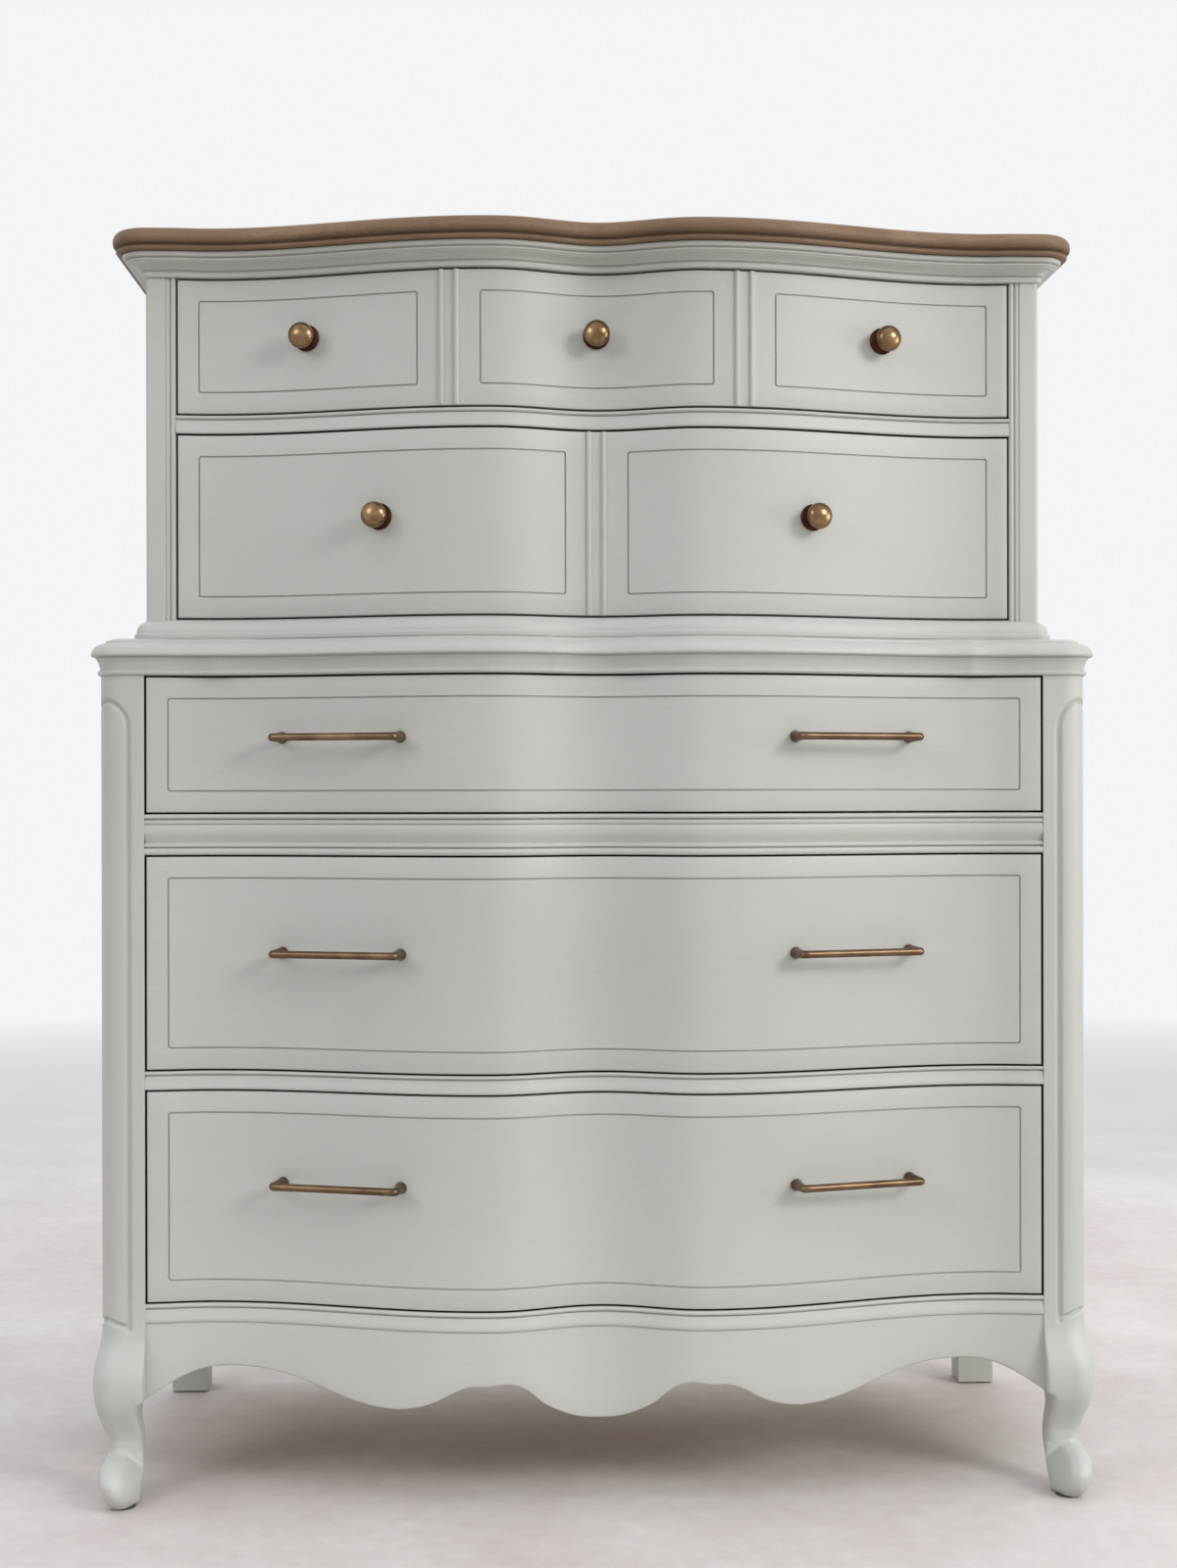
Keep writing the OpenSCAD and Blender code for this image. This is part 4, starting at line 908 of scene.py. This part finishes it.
def knob_neck_part(place):
    """Flared base and slim neck."""
    profile = [(0.0, 0.5), (13.2, 0.5), (13.7, 0.8), (13.8, 1.5), (13.5, 2.3), (12.4, 3.0), (10.0, 3.7)]
    profile += [(7.8, 4.6), (6.1, 5.6), (5.7, 7.2), (5.8, 8.6), (6.2, 9.4), (0.0, 9.4)]
    return lathe_part(profile, 48, place)


def knob_part(place):
    """Round head, a little flattened in front."""
    middle, r, behind, ahead = 17.8, 13.5, 9.0, 9.4
    turns = (-60, -50, -40, -30, -20, -10, 0, 9, 18, 27, 36, 45, 54, 62, 70, 77, 84)
    profile = [(0.0, 9.5), (6.4, 9.5)]
    profile += [(r * cosd(a), middle + (behind if a < 0 else ahead) * sind(a)) for a in turns]
    return lathe_part(profile + [(0.0, middle + ahead)], 64, place)


def tube_part(path, place, steps=24):
    """A round section carried along (u, w, radius) points."""
    rings = []
    for i, (u, w, r) in enumerate(path):
        a, b = path[max(0, i - 1)], path[min(len(path) - 1, i + 1)]
        du, dw = b[0] - a[0], b[1] - a[1]
        d = math.hypot(du, dw)
        nu, nw = -dw / d, du / d
        turns = [2 * math.pi * k / steps for k in range(steps)]
        rings.append([place(u + nu * r * math.cos(t), r * math.sin(t), w + nw * r * math.cos(t)) for t in turns])
    return rings_part(rings)


def pull_part(place):
    """One bent bar: it flares to a round foot on the drawer and turns sharply into the bar."""
    bar_w, bar_r, bend = 25.6, 3.9, 3.1
    foot = [(0.0, 0.5, 6.2), (0.0, 1.2, 6.3), (-0.1, 2.2, 6.1), (-0.3, 4.4, 5.6), (-0.6, 8.0, 5.1),
            (-1.0, 13.0, 4.7), (-1.4, 18.0, 4.4), (-1.7, 21.0, 4.3)]
    turn = [(1.2 - bend * cosd(a), bar_w - bend + bend * sind(a), 4.25 - 0.2 * a / 90) for a in (10, 28, 46, 64, 82)]
    bar = [(4, bar_w, 4.0), (9, bar_w, 3.95), (16, bar_w, bar_r), (PULL_HALF - 30, bar_w, bar_r)]
    half_path = [(u - PULL_HALF, w, r) for u, w, r in foot + turn + bar]
    return tube_part(half_path + [(0.0, bar_w, bar_r)] + [(-u, w, r) for u, w, r in reversed(half_path)], place)


def handles():
    for row, places in KNOBS.items():
        seats = [seat(row, "knobs", upper_y, x, 11.0) for x in places]
        for name, shape, material, slot, angle, nodes in (
                ("knobs", knob_part, BRASS, "brass", 40, [f"drawer_{row}_knobs"]),
                # the necks and bases take the darker brass: painted shade
                ("knob_necks", knob_neck_part, BRASS_NECK_SHADE, "brass", 40, ()),
                ("knob_screws", screw_part, STEEL, "steel", 30, ())):
            build(f"{name}_row{row}", join_parts([shape(place) for place in seats]), f"drawer_{row}", material,
                  nodes, slot, angle)
    for row in (3, 4, 5):
        # the feet stand on a chord of the serpentine, a little shorter than the pull
        seats = [seat(row, "pulls", lower_y, x, PULL_HALF * 0.96) for x in (-PULL_X, PULL_X)]
        pulls = join_parts([pull_part(place) for place in seats])
        screws = join_parts([screw_part(place, shift) for place in seats for shift in (-PULL_HALF, PULL_HALF)])
        build(f"pulls_row{row}", pulls, f"drawer_{row}", BRASS_BAR, [f"drawer_{row}_pulls"], "brass", 40)
        build(f"pull_screws_row{row}", screws, f"drawer_{row}", STEEL, (), "steel", 30)


# CAD nodes that stay, with their own surfaces
def dress(node, material, bevel=0.0):
    ob = frame["nodes"][node]
    ob.data.materials.clear()
    ob.data.materials.append(material)
    if bevel:
        mod = ob.modifiers.new("soft_edges", "BEVEL")
        mod.width = bevel * MM
        mod.segments = 2
        mod.limit_method = "ANGLE"
        mod.angle_limit = math.radians(40)
        mod.use_clamp_overlap = True


def carried_over():
    for node in ("upper_side_left", "upper_side_right", "lower_side_left", "lower_side_right"):
        dress(node, PAINT_Z)
    for node in ("rear_leg_left", "rear_leg_right"):
        dress(node, PAINT_Z, 1.5)
    for node in ("upper_top_rail", "upper_base_rail", "lower_top_rail"):
        dress(node, PAINT_X)
    for node in ("upper_back", "lower_back"):
        dress(node, BIRCH)
    dress("top_cleats", MAPLE_X, 1.0)
    dress("lower_top_board", MAPLE_X)
    for row in range(1, 6):
        dress(f"drawer_frame_{row}", MAPLE_Y, 0.8)
        dress(f"drawer_{row}_sides", MAPLE_Y, 1.0)
        dress(f"drawer_{row}_back", MAPLE_X, 1.0)
        dress(f"drawer_{row}_bottom", BIRCH)
    dress("foot_glides", NYLON, 0.8)
    dress("case_screws", STEEL, 0.4)


# Floor, lamps and background
def stage():
    """Pale washed floor that keeps the shadow near the object and fades into the background far from it."""
    bpy.ops.mesh.primitive_plane_add(size=60, location=(0, 0, 0))
    floor = bpy.context.object
    floor.name = "floor"
    n = Surface("floor")
    cloud = n.noise(n.scaled((3, 3, 3)), 4, 0.6)
    fine = n.noise(n.scaled((40, 40, 40)), 3, 0.6)
    far = n.new("ShaderNodeVectorMath", operation="LENGTH")
    n.link(n.place, far.inputs[0])
    tone = n.ramp(n.weighted((cloud, 0.7), (fine, 0.3)), [
        (0.3, rgba(182, 173, 170)), (0.55, rgba(198, 192, 189)), (0.75, rgba(209, 206, 203))])
    n.colour(n.mix(n.range(far.outputs["Value"], 1.6, 4.0, 0.0, 1.0), tone, rgba(128, 130, 122)))
    n.shader.inputs["Roughness"].default_value = 0.85
    n.relief(n.bump(fine, 0.2, 0.002))
    fade = n.math("MULTIPLY", n.range(far.outputs["Value"], 1.3, 5.0, 0.0, 1.0), n.seen())
    n.mix_shader(fade, n.shader, n.valued("ShaderNodeEmission", {"Color": SEEN}))
    floor.data.materials.append(n.material)


def lamp(name, at, aim, size, power, colour, spread_angle=180):
    data = bpy.data.lights.new(name, "AREA")
    data.shape = "RECTANGLE"
    data.size, data.size_y = size
    data.energy = power
    data.color = colour
    data.spread = math.radians(spread_angle)
    ob = bpy.data.objects.new(name, data)
    bpy.context.scene.collection.objects.link(ob)
    ob.location = at
    ob.rotation_euler = (Vector(aim) - Vector(at)).to_track_quat("-Z", "Y").to_euler()
    ob.visible_camera = False


def world():
    """A room that is brightest overhead, and an even background for the rays that see it."""
    w = bpy.data.worlds.new("studio")
    bpy.context.scene.world = w
    n = Nodes(w, "ShaderNodeOutputWorld")
    axes = n.new("ShaderNodeSeparateXYZ")
    n.link(n.coords.outputs["Generated"], axes.inputs[0])
    room = n.valued("ShaderNodeBackground", {"Color": (0.95, 0.97, 1.0, 1)})
    n.link(n.range(axes.outputs["Z"], 0.12, 1.0, 0.10, 1.75), room.inputs["Strength"])
    n.mix_shader(n.seen(), room, n.valued("ShaderNodeBackground", {"Color": SEEN, "Strength": 1.0}))


make_camera()
slab_piece()
cornice_piece()
base_piece()
waist_piece()
rails()
apron_piece()
upper_posts()
legs()
fronts()
handles()
carried_over()
stage()
lamp("key", (3.9, -3.4, 3.0), (0, 0, 0.3), (1.7, 1.5), 122, (1.0, 0.99, 0.97))
lamp("fill", (-3.6, -3.2, 2.8), (0, 0, 0.2), (1.9, 1.6), 46, (0.97, 0.99, 1.0))
lamp("side", (3.6, -0.9, 0.9), (0.4, 0, 0.5), (1.2, 1.2), 30, (1.0, 1.0, 0.98))
lamp("low", (-0.6, -3.4, 0.42), (-0.05, 0, -0.62), (0.8, 0.3), 1.5, (1.0, 1.0, 0.99), 32)
lamp("rear", (0.5, 3.6, 2.6), (0, 0, 0.7), (3.0, 2.0), 24, (1.0, 1.0, 1.0))
world()
bpy.context.scene.view_settings.view_transform = "Standard"
